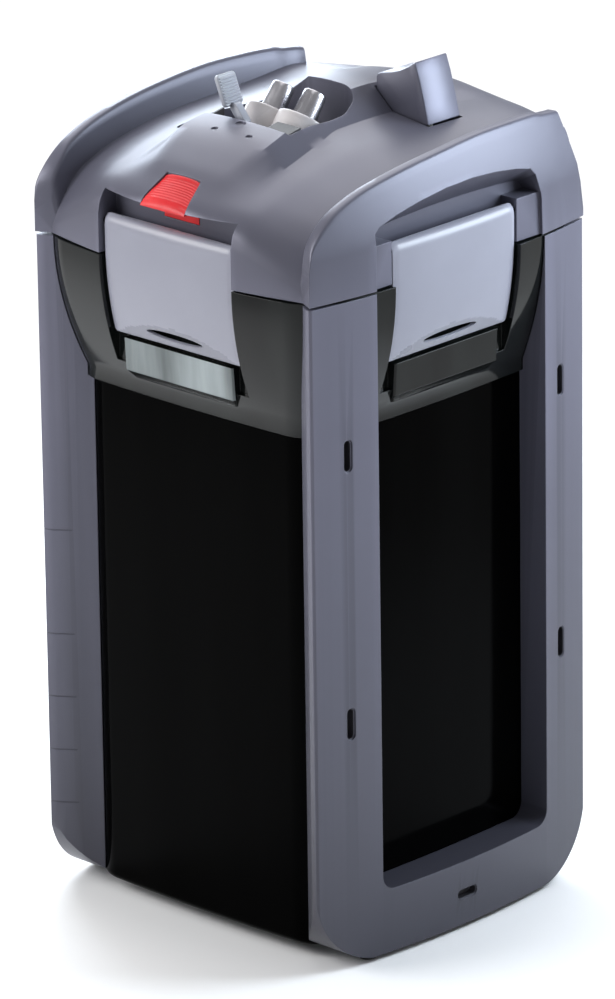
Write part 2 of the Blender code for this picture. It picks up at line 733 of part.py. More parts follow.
def make_head_cover():
    head = lid_solid("head_cover", 0.0, HEAD_BOTTOM - 2.0, look=GREY)
    join(head, wing("wing_left", -1.0), wing("wing_right", 1.0))
    cut(head, box("below_head", (-150.0, -150.0, 380.0), (150.0, 150.0, HEAD_BOTTOM)))
    cavity = lid_solid("head_cavity", SKIN, HEAD_BOTTOM - 20.0, CAVITY_X, CAVITY_Y)
    keep = inset_outline(ADAPTER_OUTLINE, -3.0)
    x0, x1, y0, y1, floor = BUTTON_POCKET
    cut(cavity, prism("adapter_walls", keep, SLEEVE_BOTTOM, 520.0))
    cut(cavity, box("button_walls", (x0 - 3.0, y0 - 3.0, floor - 3.0), (x1 + 3.0, y1 + 3.0, 520.0)))
    for sx in (-1, 1):
        for sy in (-1, 1):
            place = (sx * SCREW_AT[0], sy * SCREW_AT[1])
            cut(cavity, rod("boss", (*place, HEAD_BOTTOM), (*place, 520.0), 5.5, None, 16))
        lug = box("flap_lug", (sx * 13.0 - 1.5, -98.5, 439.5), (sx * 13.0 + 1.5, -91.5, 520.0))
        cut(cavity, lug)
    cut(head, cavity)
    cut(head, prism("adapter_pocket", ADAPTER_OUTLINE, ADAPTER_FLOOR, 520.0))
    cut(head, box("button_pocket", (x0, y0, floor), (x1, y1, 520.0)))
    cut(head, clip_pocket("front_bay", "front", FRONT_CLIP_FACE - POCKET_BACK, 390.0, POCKET_TOP))
    cut(head, clip_pocket("rear_bay", "rear", FRONT_CLIP_FACE - POCKET_BACK, 390.0, POCKET_TOP))
    cut(head, *side_pocket("left", -1.0), *side_pocket("right", 1.0))
    cut(head, lens_solid("window_cut", 0.3))
    for x in HOSE_X:
        cut(head, rod("sleeve", (x, HOSE_Y, 410.0), (x, HOSE_Y, 450.0), SLEEVE_RADIUS))
    cut(head, rod("piston_hole", (PUMP_X, PUMP_Y, 425.0), (PUMP_X, PUMP_Y, 445.0), 3.6, None, 16))
    for sx in (-1, 1):
        for sy in (-1, 1):
            place = (sx * SCREW_AT[0], sy * SCREW_AT[1])
            cut(head, rod("thread", (*place, 390.0), (*place, 420.0), SCREW_RADIUS + 0.3, None, 12))
    for side in SIDES:
        start, end = pin_line(side, 59.0)
        cut(head, rod("pin_hole_" + side, start, end, CLIP_BORE, None, 12))
    px, pz = BUTTON_PIVOT
    cut(head, rod("button_pin_hole", (px, y0 - 2.4, pz), (px, y1 + 2.4, pz), 1.8, None, 12))
    fy, fz = FLAP_PIVOT
    cut(head, rod("flap_pin_hole", (-17.0, fy, fz), (17.0, fy, fz), 1.3, None, 12))
    gx, gz = GLAND_AT
    cut(head, rod("gland_hole", (gx, 80.0, gz), (gx, 130.0, gz), 6.4, None, 16))
    return head


def pin_line(side, half):
    """The ends of a clip's pin."""
    y = -(SIDES[side] - PIN_INBOARD)
    return turned_point(side, -half, y, CLIP_PIN_Z), turned_point(side, half, y, CLIP_PIN_Z)


def clip_face(z, face, x):
    """How far out a clip's face is at height z and at x across it."""
    out = face - CLIP_CURVE * (x / CLIP_HALF) ** 2
    if z < 412.0:
        out -= CLIP_TUCK * ((412.0 - z) / (412.0 - CLIP_BOTTOM)) ** 2.2
    return out


def make_clip(side):
    """A wide closing clip: a curved plate that hangs from a barrel on its pin."""
    face = SIDES[side]
    pin = face - PIN_INBOARD
    rings = []
    levels = (412.0, 398.0, 384.0, 372.0, 364.0, 358.5, CLIP_BOTTOM)
    for k in range(7):
        x = CLIP_HALF * (k - 3) / 3.0
        front = clip_face(CLIP_PIN_Z, face, x)
        section = [(pin - 4.6, CLIP_PIN_Z - 4.0), (pin - 4.9, CLIP_PIN_Z), (pin - 3.4, CLIP_PIN_Z + 3.5),
                   (pin, CLIP_PIN_Z + 5.0), (front - 2.4, CLIP_PIN_Z + 4.4), (front - 0.7, CLIP_PIN_Z + 2.4),
                   (front, CLIP_PIN_Z - 1.0)]
        section += [(clip_face(z, face, x), z) for z in levels]
        section += [(clip_face(z, face, x) - CLIP_THICK, z + 0.5) for z in reversed(levels)]
        section.append((pin - 2.5, CLIP_PIN_Z - 5.4))
        rings.append([turned_point(side, x, -out, z) for out, z in section])
    clip = loft("clip_" + side, rings, SILVER)
    start, end = pin_line(side, 60.0)
    cut(clip, rod("clip_bore_" + side, start, end, CLIP_BORE, None, 12))
    slot = []
    for k in range(17):
        angle = math.tau * k / 17
        slot.append((22.0 * math.cos(angle), 361.0 + 2.6 * math.sin(angle)))
    rings = [[turned_point(side, x, -out, z) for x, z in slot] for out in (90.0, 130.0)]
    cut(clip, loft("finger_slot_" + side, rings))
    middle = (Vector(start) + Vector(end)) / 2.0
    set_origin(clip, middle)
    return clip


def make_clip_pin(side):
    start, end = pin_line(side, 58.0)
    return rod("clip_pin_" + side, start, end, CLIP_PIN_RADIUS, STEEL, 10)


def make_head_base():
    """The plate under the head: it plugs the vessel's neck and carries the seal, motor and screws."""
    base_rings = []
    low, high = GROOVE
    steps = ((BASE_LOW, 2.0), (low, 1.0), (low, 5.0), (high, 5.0), (high, 0.6), (BASE_HIGH, 0.6))
    for level, inset in steps:
        base_rings.append([(x, y, level) for x, y in neck_outline(inset)])
    base = loft("head_base", base_rings, BLACK)
    under = prism("base_hollow", neck_outline(9.0), 380.0, BASE_SKIN_Z - 1.0)
    for sx in (-1, 1):
        for sy in (-1, 1):
            cut(under, box("base_pad", (sx * SCREW_AT[0] - 7.0, sy * SCREW_AT[1] - 7.0, 370.0),
                           (sx * SCREW_AT[0] + 7.0, sy * SCREW_AT[1] + 7.0, 410.0)))
    cut(base, under)
    size = MOTOR_HALF + 0.6
    cut(base, box("motor_hole", (-size, -size, 370.0), (size, size, 420.0)))
    cut(base, rod("pipe_hole", (*PIPE_AT, 370.0), (*PIPE_AT, 420.0), 8.0, None, 16))
    for sx in (-1, 1):
        for sy in (-1, 1):
            place = (sx * SCREW_AT[0], sy * SCREW_AT[1])
            cut(base, rod("screw_hole", (*place, 370.0), (*place, 420.0), SCREW_RADIUS + 0.3, None, 12))
            spot = (sx * MOTOR_SCREW_AT, sy * MOTOR_SCREW_AT)
            cut(base, rod("motor_screw_hole", (*spot, 370.0), (*spot, 420.0), SCREW_RADIUS + 0.3, None, 12))
    return base


def make_seal():
    low, high = GROOVE
    inner = neck_outline(4.6)
    outer = neck_outline(0.4)
    count = len(inner)
    points = []
    for level in (low + 0.4, high - 0.4):
        points += [(x, y, level) for x, y in outer] + [(x, y, level) for x, y in inner]
    faces = []
    for i in range(count):
        j = (i + 1) % count
        faces.append([i, j, 2 * count + j, 2 * count + i])
        faces.append([count + j, count + i, 3 * count + i, 3 * count + j])
        faces.append([j, i, count + i, count + j])
        faces.append([2 * count + i, 2 * count + j, 3 * count + j, 3 * count + i])
    seal = solid("seal_ring", points, faces, RUBBER)
    face_out(seal)
    return seal


def make_screw(name, x, y, top, length, upward):
    """A pan-head screw; upward screws have the head below."""
    step = -1.0 if upward else 1.0
    head = 2.2 / (length + 2.2)
    profile = ((0.0, 3.6), (head, 3.9), (head + 0.0001, SCREW_RADIUS), (1.0, SCREW_RADIUS - 0.3))
    end = top - step * (length + 2.2)
    return turned(name, (x, y, top), (x, y, end), profile, STEEL, 10)


def make_motor():
    half = MOTOR_HALF
    plan = rounded_box((-half, -half), (half, half), 6.0)
    motor = prism("motor_block", plan, MOTOR_LOW, MOTOR_HIGH, "Z", BLACK)
    plan = rounded_box((-FLANGE_HALF, -FLANGE_HALF), (FLANGE_HALF, FLANGE_HALF), 6.0)
    flange = prism("motor_flange", plan, BASE_HIGH + 0.3, BASE_HIGH + 0.3 + FLANGE_THICK)
    join(motor, flange)
    cut(motor, rod("well", (0, 0, 360.0), (0, 0, WELL_TOP), WELL_RADIUS))
    cut(motor, rod("shaft_seat", (0, 0, 390.0), (0, 0, WELL_TOP + 4.0), SHAFT_RADIUS + 0.3, None, 12))
    for sx in (-1, 1):
        for sy in (-1, 1):
            spot = (sx * MOTOR_SCREW_AT, sy * MOTOR_SCREW_AT)
            cut(motor, rod("flange_hole", (*spot, 390.0), (*spot, 420.0), SCREW_RADIUS + 0.3, None, 12))
    return motor


def make_impeller_cover():
    low = COVER_LOW
    profile = ((0.0, COVER_RADIUS - 2.0), (0.1, COVER_RADIUS), (1.0, COVER_RADIUS))
    cover = turned("impeller_cover", (0, 0, low), (0, 0, MOTOR_LOW - 0.3), profile, BLACK)
    cut(cover, rod("chamber", (0, 0, low + 2.5), (0, 0, 380.0), COVER_RADIUS - 3.0))
    join(cover, rod("bearing_seat", (0, 0, low + 1.0), (0, 0, low + 5.0), 4.0, None, 16))
    cut(cover, rod("bearing_hole", (0, 0, low + 1.5), (0, 0, 380.0), SHAFT_RADIUS + 0.3, None, 12))
    for k in range(6):
        x, y = circle(12.0, 6)[k]
        cut(cover, rod("inlet_hole", (x, y, low - 5.0), (x, y, low + 4.0), 4.0, None, 12))
    cut(cover, box("outlet", (20.0, -6.0, low + 5.0), (40.0, 6.0, MOTOR_LOW - 4.0)))
    return cover


def make_rotor():
    magnet = rod("rotor_magnet", (0, 0, 374.4), (0, 0, 402.6), ROTOR_RADIUS, BLACK)
    cut(magnet, rod("magnet_bore", (0, 0, 370.0), (0, 0, 410.0), ROTOR_BORE, None, 16))
    wheel = rod("impeller_wheel", (0, 0, 366.5), (0, 0, 368.3), WHEEL_RADIUS, WHITE)
    join(wheel, rod("wheel_hub", (0, 0, 357.6), (0, 0, 374.0), 5.0, None, 16))
    for k in range(BLADES):
        blade = box("blade_%d" % k, (4.0, -0.8, 357.6), (WHEEL_RADIUS - 1.0, 0.8, 367.0))
        blade.rotation_euler.z = math.tau * k / BLADES
        join(wheel, blade)
    cut(wheel, rod("wheel_bore", (0, 0, 350.0), (0, 0, 380.0), ROTOR_BORE, None, 16))
    return magnet, wheel


def make_gland():
    """The cord's inlet: a rubber bush through the rear wall, with a flange inside and a collar outside."""
    gx, gz = GLAND_AT
    start, end = GLAND_Y
    length = end - start
    collar = (117.4 - start) / length
    profile = ((0.0, 8.2), (0.09, 8.2), (0.091, 6.0), (collar, 6.0), (collar + 0.001, 7.4), (0.95, 7.4),
               (1.0, 5.2))
    gland = turned("cable_gland", (gx, start, gz), (gx, end, gz), profile, RUBBER, 16)
    return cut(gland, rod("cord_hole", (gx, start - 5.0, gz), (gx, end + 5.0, gz), 3.4, None, 16))


# ---------------------------------------------------------------- adapter and lever

def leaning(x, along):
    """A point on a hose stub's axis."""
    y, z = LOBE_CENTRE
    return (x, y + along * math.sin(HOSE_LEAN), z + along * math.cos(HOSE_LEAN))


def make_adapter_block():
    """The plug-in block: a flush sill with the lever's slot in front, and the two valve seats behind it."""
    plan = inset_outline(ADAPTER_OUTLINE, 0.7)
    block = prism("adapter_block", plan, ADAPTER_FLOOR + 0.4, ADAPTER_TOP, "Z", BLACK)
    x0, x1, y0, y1 = SILL
    front, rear = SILL_TOP
    section = ((y0, ADAPTER_FLOOR + 3.0), (y1, ADAPTER_FLOOR + 3.0), (y1, rear), (y0, front))
    join(block, loft("sill", [[(x, y, z) for y, z in section] for x in (x0, x1)]))
    x0, x1, y0, y1 = LEVER_SLOT
    cut(block, box("lever_slot", (x0, y0, LEVER_SLOT_FLOOR), (x1, y1, 480.0)))
    px, pz = LEVER_PIVOT
    near, far = LEVER_PIN_Y
    cut(block, rod("lever_pin_hole", (px, near - 0.3, pz), (px, far + 0.3, pz), 1.8, None, 12))
    for x in HOSE_X:
        spigot = rod("spigot", (x, HOSE_Y, SPIGOT_BOTTOM), (x, HOSE_Y, ADAPTER_FLOOR + 2.0), SPIGOT_RADIUS)
        join(block, spigot)
        seat = VALVE_HALF + 0.4
        start = (x, HOSE_Y - seat, VALVE_Z)
        end = (x, HOSE_Y + seat, VALVE_Z)
        cut(block, rod("valve_seat", start, end, VALVE_RADIUS + 0.4))
        cut(block, rod("passage", (x, HOSE_Y, 410.0), (x, HOSE_Y, 470.0), PASSAGE))
    return block


def make_collar():
    """The twin lobes that clamp the hose stubs, flat in front where the lever passes."""
    left, right = HOSE_X
    collar = rod("twin_collar", leaning(left, -26.0), leaning(left, 0.0), LOBE_RADIUS, PEARL, 28)
    join(collar, rod("second_lobe", leaning(right, -27.0), leaning(right, 0.0), LOBE_RADIUS, None, 28))
    cut(collar, box("under_lobes", (-80.0, -80.0, 420.0), (60.0, 60.0, ADAPTER_TOP + 0.3)))
    cut(collar, box("lobe_front", (-80.0, -80.0, 420.0), (60.0, LOBE_FRONT, 520.0)))
    for x in HOSE_X:
        cut(collar, rod("stub_socket", leaning(x, -STUB_SOCKET), leaning(x, 10.0), STUB_RADIUS + 0.3))
        cut(collar, rod("lobe_passage", leaning(x, -30.0), leaning(x, 10.0), PASSAGE, None, 16))
    return collar


def make_stub(name, x):
    start = leaning(x, -STUB_SOCKET + 0.3)
    end = leaning(x, STUB_LENGTH)
    profile = ((0.0, STUB_RADIUS), (0.25, STUB_RADIUS), (0.95, STUB_TIP), (1.0, STUB_TIP - 0.5))
    stub = turned(name, start, end, profile, CHROME, 28)
    return cut(stub, rod("stub_bore", leaning(x, -10.0), leaning(x, 30.0), STUB_BORE))


def make_valve(name, x):
    start = (x, HOSE_Y - VALVE_HALF, VALVE_Z)
    end = (x, HOSE_Y + VALVE_HALF, VALVE_Z)
    valve = rod(name, start, end, VALVE_RADIUS, WHITE)
    cut(valve, rod("valve_bore", (x, HOSE_Y, 430.0), (x, HOSE_Y, 460.0), PASSAGE - 0.4, None, 16))
    set_origin(valve, (x, HOSE_Y, VALVE_Z))
    return valve


def paddle_point(across, along, out):
    """A point of the paddle: across it, up along it, and out of its ribbed face."""
    px, pz = LEVER_PIVOT
    foot_x, foot_z = PADDLE_FOOT
    x = px + foot_x - along * math.sin(PADDLE_TILT) + out * math.cos(PADDLE_TILT)
    z = pz + foot_z + along * math.cos(PADDLE_TILT) + out * math.sin(PADDLE_TILT)
    return (x, LEVER_Y + across, z)


def make_lever():
    """A bent stem on the lever pin that carries a ribbed paddle."""
    px, pz = LEVER_PIVOT
    outline = [(px + x, pz + z) for x, z in LEVER_OUTLINE]
    lever = prism("release_lever", outline, LEVER_Y - LEVER_HALF, LEVER_Y + LEVER_HALF, "Y", SILVER)
    wide, long, thick = PADDLE
    plan = rounded_box((-0.5 * wide, 0.0), (0.5 * wide, long), 2.0, 3)
    faces = (-0.5 * thick, 0.5 * thick)
    join(lever, loft("paddle", [[paddle_point(a, b, out) for a, b in plan] for out in faces]))
    pitch = (long - 3.0) / LEVER_RIBS
    reach = 0.5 * wide - 1.2
    for k in range(LEVER_RIBS):
        low = 1.9 + k * pitch
        high = low + 0.55 * pitch
        rib = ((-reach, low), (reach, low), (reach, high), (-reach, high))
        faces = (0.5 * thick - 0.5, 0.5 * thick + 0.8)
        join(lever, loft("lever_rib", [[paddle_point(a, b, out) for a, b in rib] for out in faces]))
    cut(lever, rod("lever_bore", (px, -80.0, pz), (px, 0.0, pz), 1.9, None, 12))
    set_origin(lever, (px, LEVER_Y, pz))
    return lever


# ---------------------------------------------------------------- priming pump and flow flap

def make_button():
    y0, y1 = BUTTON_Y
    button = prism("priming_button", list(BUTTON_PROFILE), y0, y1, "Y", GREY)
    px, pz = BUTTON_PIVOT
    cut(button, rod("button_bore", (px, 20.0, pz), (px, 80.0, pz), 1.9, None, 12))
    hollow = ((27.5, 458.0), (56.0, 458.0), (56.5, 470.0), (51.0, 489.0), (45.0, 489.0), (34.0, 485.0),
              (28.5, 484.0))
    cut(button, prism("button_hollow", hollow, y0 + 2.0, y1 - 2.0, "Y"))
    join(button, box("push_foot", (PUMP_X - 4.0, PUMP_Y - 4.0, 463.8), (PUMP_X + 4.0, PUMP_Y + 4.0, 490.5)))
    set_origin(button, (px, PUMP_Y, pz))
    return button


def make_piston():
    rod_top = 463.2
    profile_end = rod_top - 424.0
    wide = PUMP_BORE - 0.5
    profile = ((0.0, wide), (4.0 / profile_end, wide), (4.01 / profile_end, 2.8), (1.0, 2.8))
    return turned("priming_piston", (PUMP_X, PUMP_Y, 424.0), (PUMP_X, PUMP_Y, rod_top), profile, WHITE, 20)


def make_cylinder():
    place = (PUMP_X, PUMP_Y)
    body = rod("priming_cylinder", (*place, PUMP_BOTTOM), (*place, PUMP_TOP), PUMP_RADIUS, BLACK)
    return cut(body, rod("cylinder_bore", (*place, PUMP_BOTTOM + 2.0), (*place, 450.0), PUMP_BORE),
               rod("cylinder_port", (*place, 400.0), (*place, 410.0), 2.5, None, 12))


def make_spring():
    """The button's return spring, five turns of wire between the piston and the cylinder's floor."""
    turns = 5
    steps = 8
    wire = 0.55
    radius = 5.4
    low = PUMP_BOTTOM + 2.0 + 0.4 + wire
    high = 424.0 - 0.4 - wire
    rings = []
    for i in range(turns * steps + 1):
        share = i / (turns * steps)
        angle = math.tau * turns * share
        level = low + (high - low) * share
        centre = Vector((PUMP_X + radius * math.cos(angle), PUMP_Y + radius * math.sin(angle), level))
        outward = Vector((math.cos(angle), math.sin(angle), 0.0))
        rings.append([centre + outward * wire * math.cos(a) + Vector((0, 0, wire)) * math.sin(a)
                      for a in (math.tau * k / 5 for k in range(5))])
    return loft("priming_spring", rings, STEEL)


def make_flap():
    fy, fz = FLAP_PIVOT
    wide, thick, tall = FLAP_SIZE
    near, far = fy - 0.5 * thick, fy + 0.5 * thick
    flap = box("flow_flap", (-0.5 * wide, near, fz - tall), (0.5 * wide, far, fz), RED)
    join(flap, rod("flap_barrel", (-0.5 * wide, fy, fz), (0.5 * wide, fy, fz), 2.3, None, 12))
    cut(flap, rod("flap_bore", (-20.0, fy, fz), (20.0, fy, fz), 1.3, None, 12))
    set_origin(flap, (0.0, fy, fz))
    return flap


# ---------------------------------------------------------------- assembly

def make_vessel():
    make_tub()
    make_frame("side_frame_left", -1.0)
    make_frame("side_frame_right", 1.0)
    for row, y in (("front", -FOOT_Y), ("rear", FOOT_Y)):
        for column, x in (("left", -FOOT_X), ("right", FOOT_X)):
            make_foot("foot_%s_%s" % (row, column), x, y)
    make_floor_grid()
    make_pipe()


def make_baskets():
    for name, low in zip(("lower", "middle", "upper"), BASKET_LOW):
        make_basket(name + "_basket", low)
    basket_fill("lower_media", BASKET_LOW[0], BASKET_WALL + 0.5, 78.0, WHITE)
    basket_fill("middle_media", BASKET_LOW[1], BASKET_WALL + 0.5, 78.0, WHITE)
    basket_fill("fine_pad", BASKET_LOW[2], BASKET_WALL + 0.5, 30.0, WHITE)
    basket_fill("coarse_pad", BASKET_LOW[2], BASKET_WALL + 31.0, 55.0, BLUE)


def make_head():
    make_head_cover()
    make_head_base()
    make_seal()
    make_motor()
    make_impeller_cover()
    rod("rotor_shaft", (0, 0, COVER_LOW + 1.8), (0, 0, WELL_TOP + 3.7), SHAFT_RADIUS, WHITE, 12)
    make_rotor()
    lens_solid("flow_window", 0.0, RED)
    make_gland()
    px, pz = BUTTON_PIVOT
    rod("button_pin", (px, BUTTON_POCKET[2] - 2.1, pz), (px, BUTTON_POCKET[3] + 2.1, pz), 1.4, STEEL, 10)
    fy, fz = FLAP_PIVOT
    rod("flap_pin", (-15.5, fy, fz), (15.5, fy, fz), 0.95, STEEL, 10)
    make_cylinder()
    make_flap()
    make_button()
    make_piston()
    make_spring()
    number = 0
    for sx in (-1, 1):
        for sy in (-1, 1):
            number += 1
            x, y = SCREW_AT
            make_screw("head_screw_%d" % number, sx * x, sy * y, BASE_LOW - 2.6, 30.0, True)
            at = MOTOR_SCREW_AT
            make_screw("motor_screw_%d" % number, sx * at, sy * at, BASE_HIGH + 5.9, 10.0, False)


def make_adapter():
    make_adapter_block()
    make_collar()
    make_stub("inlet_stub", HOSE_X[0])
    make_stub("outlet_stub", HOSE_X[1])
    for name, x in zip(("inlet", "outlet"), HOSE_X):
        ring(name + "_oring", (x, HOSE_Y, 425.5), SPIGOT_RADIUS + ORING_RADIUS + 0.3, ORING_RADIUS, RUBBER)
        make_valve(name + "_valve", x)
    px, pz = LEVER_PIVOT
    rod("lever_pin", (px, LEVER_PIN_Y[0], pz), (px, LEVER_PIN_Y[1], pz), 1.5, STEEL, 10)
    make_lever()


def main():
    clear_scene()
    make_vessel()
    make_baskets()
    make_head()
    for side in SIDES:
        make_clip(side)
        make_clip_pin(side)
    make_adapter()


main()
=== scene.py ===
"""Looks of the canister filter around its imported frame. Dimensions are millimetres; MM makes them metres."""
import itertools
import math

import bpy
from mathutils import Matrix, Vector


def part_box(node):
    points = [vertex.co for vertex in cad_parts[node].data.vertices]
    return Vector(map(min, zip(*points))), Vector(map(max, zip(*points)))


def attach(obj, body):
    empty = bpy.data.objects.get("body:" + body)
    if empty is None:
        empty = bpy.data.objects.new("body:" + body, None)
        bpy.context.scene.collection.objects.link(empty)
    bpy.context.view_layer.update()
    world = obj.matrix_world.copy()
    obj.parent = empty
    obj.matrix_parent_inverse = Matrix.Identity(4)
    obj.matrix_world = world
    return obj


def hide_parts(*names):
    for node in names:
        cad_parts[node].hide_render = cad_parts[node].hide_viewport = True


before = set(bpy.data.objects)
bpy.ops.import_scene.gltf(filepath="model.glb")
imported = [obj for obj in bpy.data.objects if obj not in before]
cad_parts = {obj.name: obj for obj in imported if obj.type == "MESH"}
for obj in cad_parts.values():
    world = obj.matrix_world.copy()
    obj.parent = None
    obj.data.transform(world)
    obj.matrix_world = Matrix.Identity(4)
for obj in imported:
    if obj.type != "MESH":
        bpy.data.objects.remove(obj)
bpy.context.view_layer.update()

MM = 0.001

# Plan of the casing and of the vessel: (half x, half y, bulge x, bulge y, corner radius)
HALF_X, HALF_Y, BULGE_X = 108.0, 114.0, 11.0
FRONT_MID, FRONT_SAG, FRONT_END_X = 122.0, 12.6, 98.6
LOWER = (92.5, 96.0, 3.5, 3.0, 20.0)
RIM = (95.0, 98.5, 3.5, 3.0, 20.0)
COLLAR = (107.4, 109.5, 10.8, 11.8, 20.0)
NECK = (91.0, 94.5, 20.0)
TUB_WALL, TUB_BOTTOM, TUB_FLOOR = 4.0, 7.0, 11.0
RIM_LOW, RIM_HIGH, COLLAR_TOP, HOLLOW_LOW = 316.0, 324.0, 401.6, 352.0
HEAD_BOTTOM, FRAME_BOTTOM, FRAME_TOP = 402.6, 3.2, 401.0

# Clips and their bays
SIDES = {"front": 117.8, "rear": 117.8, "left": 114.8, "right": 114.8}
CLIP_HALF, CLIP_PIN_Z, CLIP_BOTTOM, CLIP_THICK = 50.5, 421.0, 354.6, 3.0
CLIP_CURVE, CLIP_TUCK, PIN_INBOARD, CLIP_BORE = 2.0, 7.0, 5.2, 1.9
POCKET_HALF, POCKET_BACK, POCKET_TOP, POCKET_LOW = 52.0, 14.3, 439.5, 336.0
CATCH = (43.0, 332.0, 352.0)
CLIP_CREASE, CLIP_SLOT = (12.5, 2.0), (22.0, 361.0, 2.6)
CLIP_BARREL = ((-4.6, -4.0), (-4.9, 0.0), (-4.4, 2.0), (-3.4, 3.5), (-1.8, 4.6), (0.0, 5.0))
CLIP_CROWN = ((-2.4, 4.4), (-1.4, 3.6), (-0.7, 2.4), (-0.2, 0.8), (0.0, -1.0))
ARCH = ((-67, 396), (-67, 436), (-63, 439.5), (-49, 443.5), (-30, 447), (-10, 449.5), (12, 450.3),
        (32, 449.5), (50, 447.6), (63, 445), (67, 440.5), (71, 424), (72, 396))
SHOULDER_TOP, SHOULDER_SETBACK, ARCH_CEILING, ARCH_LIP = 428.0, 3.4, 0.35, 4.0

# Side frame
WINDOW, WINDOW_RADIUS, FRAME_RADIUS = (-67.0, 74.0, 42.0), 9.0, 46.0
PILLAR_INNER = (81.0, 93.5)
SLOTS = [(y, z, 5.0, 18.0) for y in (-89.0, 89.0) for z in (150.0, 310.5)] + [(0.0, 22.0, 15.0, 5.0)]
SLOT_LIP, SLOT_DEPTH = (0.7, 0.8), 5.0
GROOVE_HEIGHTS, GROOVE_WIDTH, GROOVE_DEPTH = (53.0, 86.0, 119.0, 158.0, 222.0), 0.8, 0.2
FEET = {"front_left": (-106.0, -71.0), "front_right": (106.0, -71.0), "rear_left": (-106.0, 71.0),
        "rear_right": (106.0, 71.0)}

# Head surface, read by y at x = 0
SPINE_Z = ((-122, 425), (-120, 439.5), (-114, 446), (-108, 450), (-93, 460), (-64, 473), (-18, 480),
           (25, 483.5), (60, 480), (96, 471), (119, 462), (122, 454))
FLANK_Z = ((-122, 424), (-120, 432), (-114, 439), (-108, 443.5), (-93, 450), (-64, 458), (-18, 464),
           (25, 465), (60, 464.5), (96, 463.5), (119, 458.5), (122, 450))
EDGE_Z = ((-122, 404), (-120, 409), (-114, 418), (-108, 424.5), (-93, 434), (-64, 442), (-18, 448.5),
          (25, 451.5), (60, 454.5), (96, 458.5), (119, 455.5), (122, 448))
SPINE_IN = ((-122, 22), (-108, 24), (-93, 28), (-69, 33), (-36, 27), (-16, 22), (20, 18), (122, 18))
SPINE_OUT = ((-122, 50), (-108, 49), (-84, 47), (-33, 40), (-10, 34), (34, 34), (122, 46))
FLANK_X, SPINE_CROWN, SKIN, CAVITY_X, CAVITY_Y = 60.0, 1.0, 4.0, 97.0, 101.0
WING_TOP = ((-114, 423), (-112.5, 433), (-106, 442.5), (-92, 452.5), (-64, 462), (-18, 469), (32, 472.5),
            (60, 472), (100, 467.5), (104.5, 453), (109, 437), (114, 409))
WING_THICK, WING_END_THICK, WING_LEAN, WING_LEAN_RISE, WING_TAPER = 7.0, 9.4, 10.5, 49.0, 0.2
DIMPLES = ((-10.0, -66.0, 2.2), (16.0, -65.0, 2.2), (0.0, -55.2, 3.4))

# Adapter, lever, button, window
ADAPTER_OUTLINE = ((-56, -52), (-31, -51.5), (32.5, -51.5), (31, -38), (29.6, -20), (28.6, 0), (23, 14),
                   (12, 19.5), (-20, 19.5), (-34, 12), (-42, -5), (-50, -28))
ADAPTER_FLOOR, ADAPTER_TOP, SLEEVE_BOTTOM, SLEEVE_RADIUS = 431.0, 457.0, 420.0, 11.8
SILL, SILL_TOP = (-30.4, 31.0, -50.8, -38.4), (472.4, 474.6)
HOSE_X, HOSE_Y, HOSE_LEAN = (-12.3, 12.3), -20.0, math.radians(38.0)
LOBE_CENTRE, LOBE_RADIUS, LOBE_FRONT = (-16.8, 470.7), 15.2, -38.0
STUB_RADIUS, STUB_TIP, STUB_BORE, STUB_LENGTH, STUB_SOCKET, PASSAGE = 7.4, 6.7, 5.4, 17.0, 4.0, 5.0
SPIGOT_RADIUS, SPIGOT_BOTTOM, VALVE_Z, VALVE_RADIUS, VALVE_HALF = 8.6, 421.0, 444.0, 8.2, 9.0
LEVER_PIVOT, LEVER_Y, LEVER_HALF, LEVER_PIN_Y = (-7.0, 452.0), -44.0, 2.4, (-50.3, -30.6)
LEVER_SLOT, LEVER_SLOT_FLOOR = (-29.0, 13.0, -49.2, -37.0), 443.0
LEVER_OUTLINE = ((-4.2, -2.0), (-2.4, -4.4), (2.4, -4.4), (4.2, -2.0), (4.2, 2.0), (2.6, 8.0), (2.2, 20.6),
                 (-5.6, 30.0), (-9.0, 30.0), (-10.0, 26.6), (-2.9, 18.2), (-2.6, 8.0), (-4.2, 2.0))
PADDLE_FOOT, PADDLE_TILT = (-9.3, 27.7), math.radians(22.0)
PADDLE, LEVER_RIBS = (15.0, 19.0, 3.0), 9
BUTTON_PIVOT, BUTTON_Y = (24.5, 473.5), (35.0, 62.0)
BUTTON_PROFILE = ((20.4, 471.6), (20.4, 486.4), (21.6, 488.2), (24.0, 489.2), (27.0, 489.8), (30.0, 490.5),
                  (34.0, 491.6), (38.0, 493.0), (42.0, 495.0), (45.5, 496.9), (48.4, 498.9), (50.2, 500.0),
                  (50.9, 499.2), (54.0, 490.5), (57.5, 478.0), (60.6, 465.0), (54.0, 463.6), (34.0, 463.6),
                  (22.0, 469.6))
BUTTON_POCKET = (19.6, 61.8, 34.2, 62.8, 438.0)
PUMP_X, PUMP_Y = 48.0, 48.5
LENS_LOW, LENS_HIGH, LENS_SKIRT = (-119.6, 17.3), (-101.4, 13.0), 429.0
FLAP_PIVOT, GLAND_AT, SCREW_AT = (-95.0, 443.0), (70.0, 414.0), (77.0, 78.0)

# Camera: direction, distance, lens and the point it looks at
CAMERA_AZIMUTH, CAMERA_ELEVATION, CAMERA_ROLL = math.radians(43.7), math.radians(19.6), math.radians(-0.8)
CAMERA_DISTANCE, CAMERA_LENS, AIM_HEIGHT = 4.6327, 288.3, 0.230
AIM_LEFT, AIM_UP = 0.0034, 0.0047

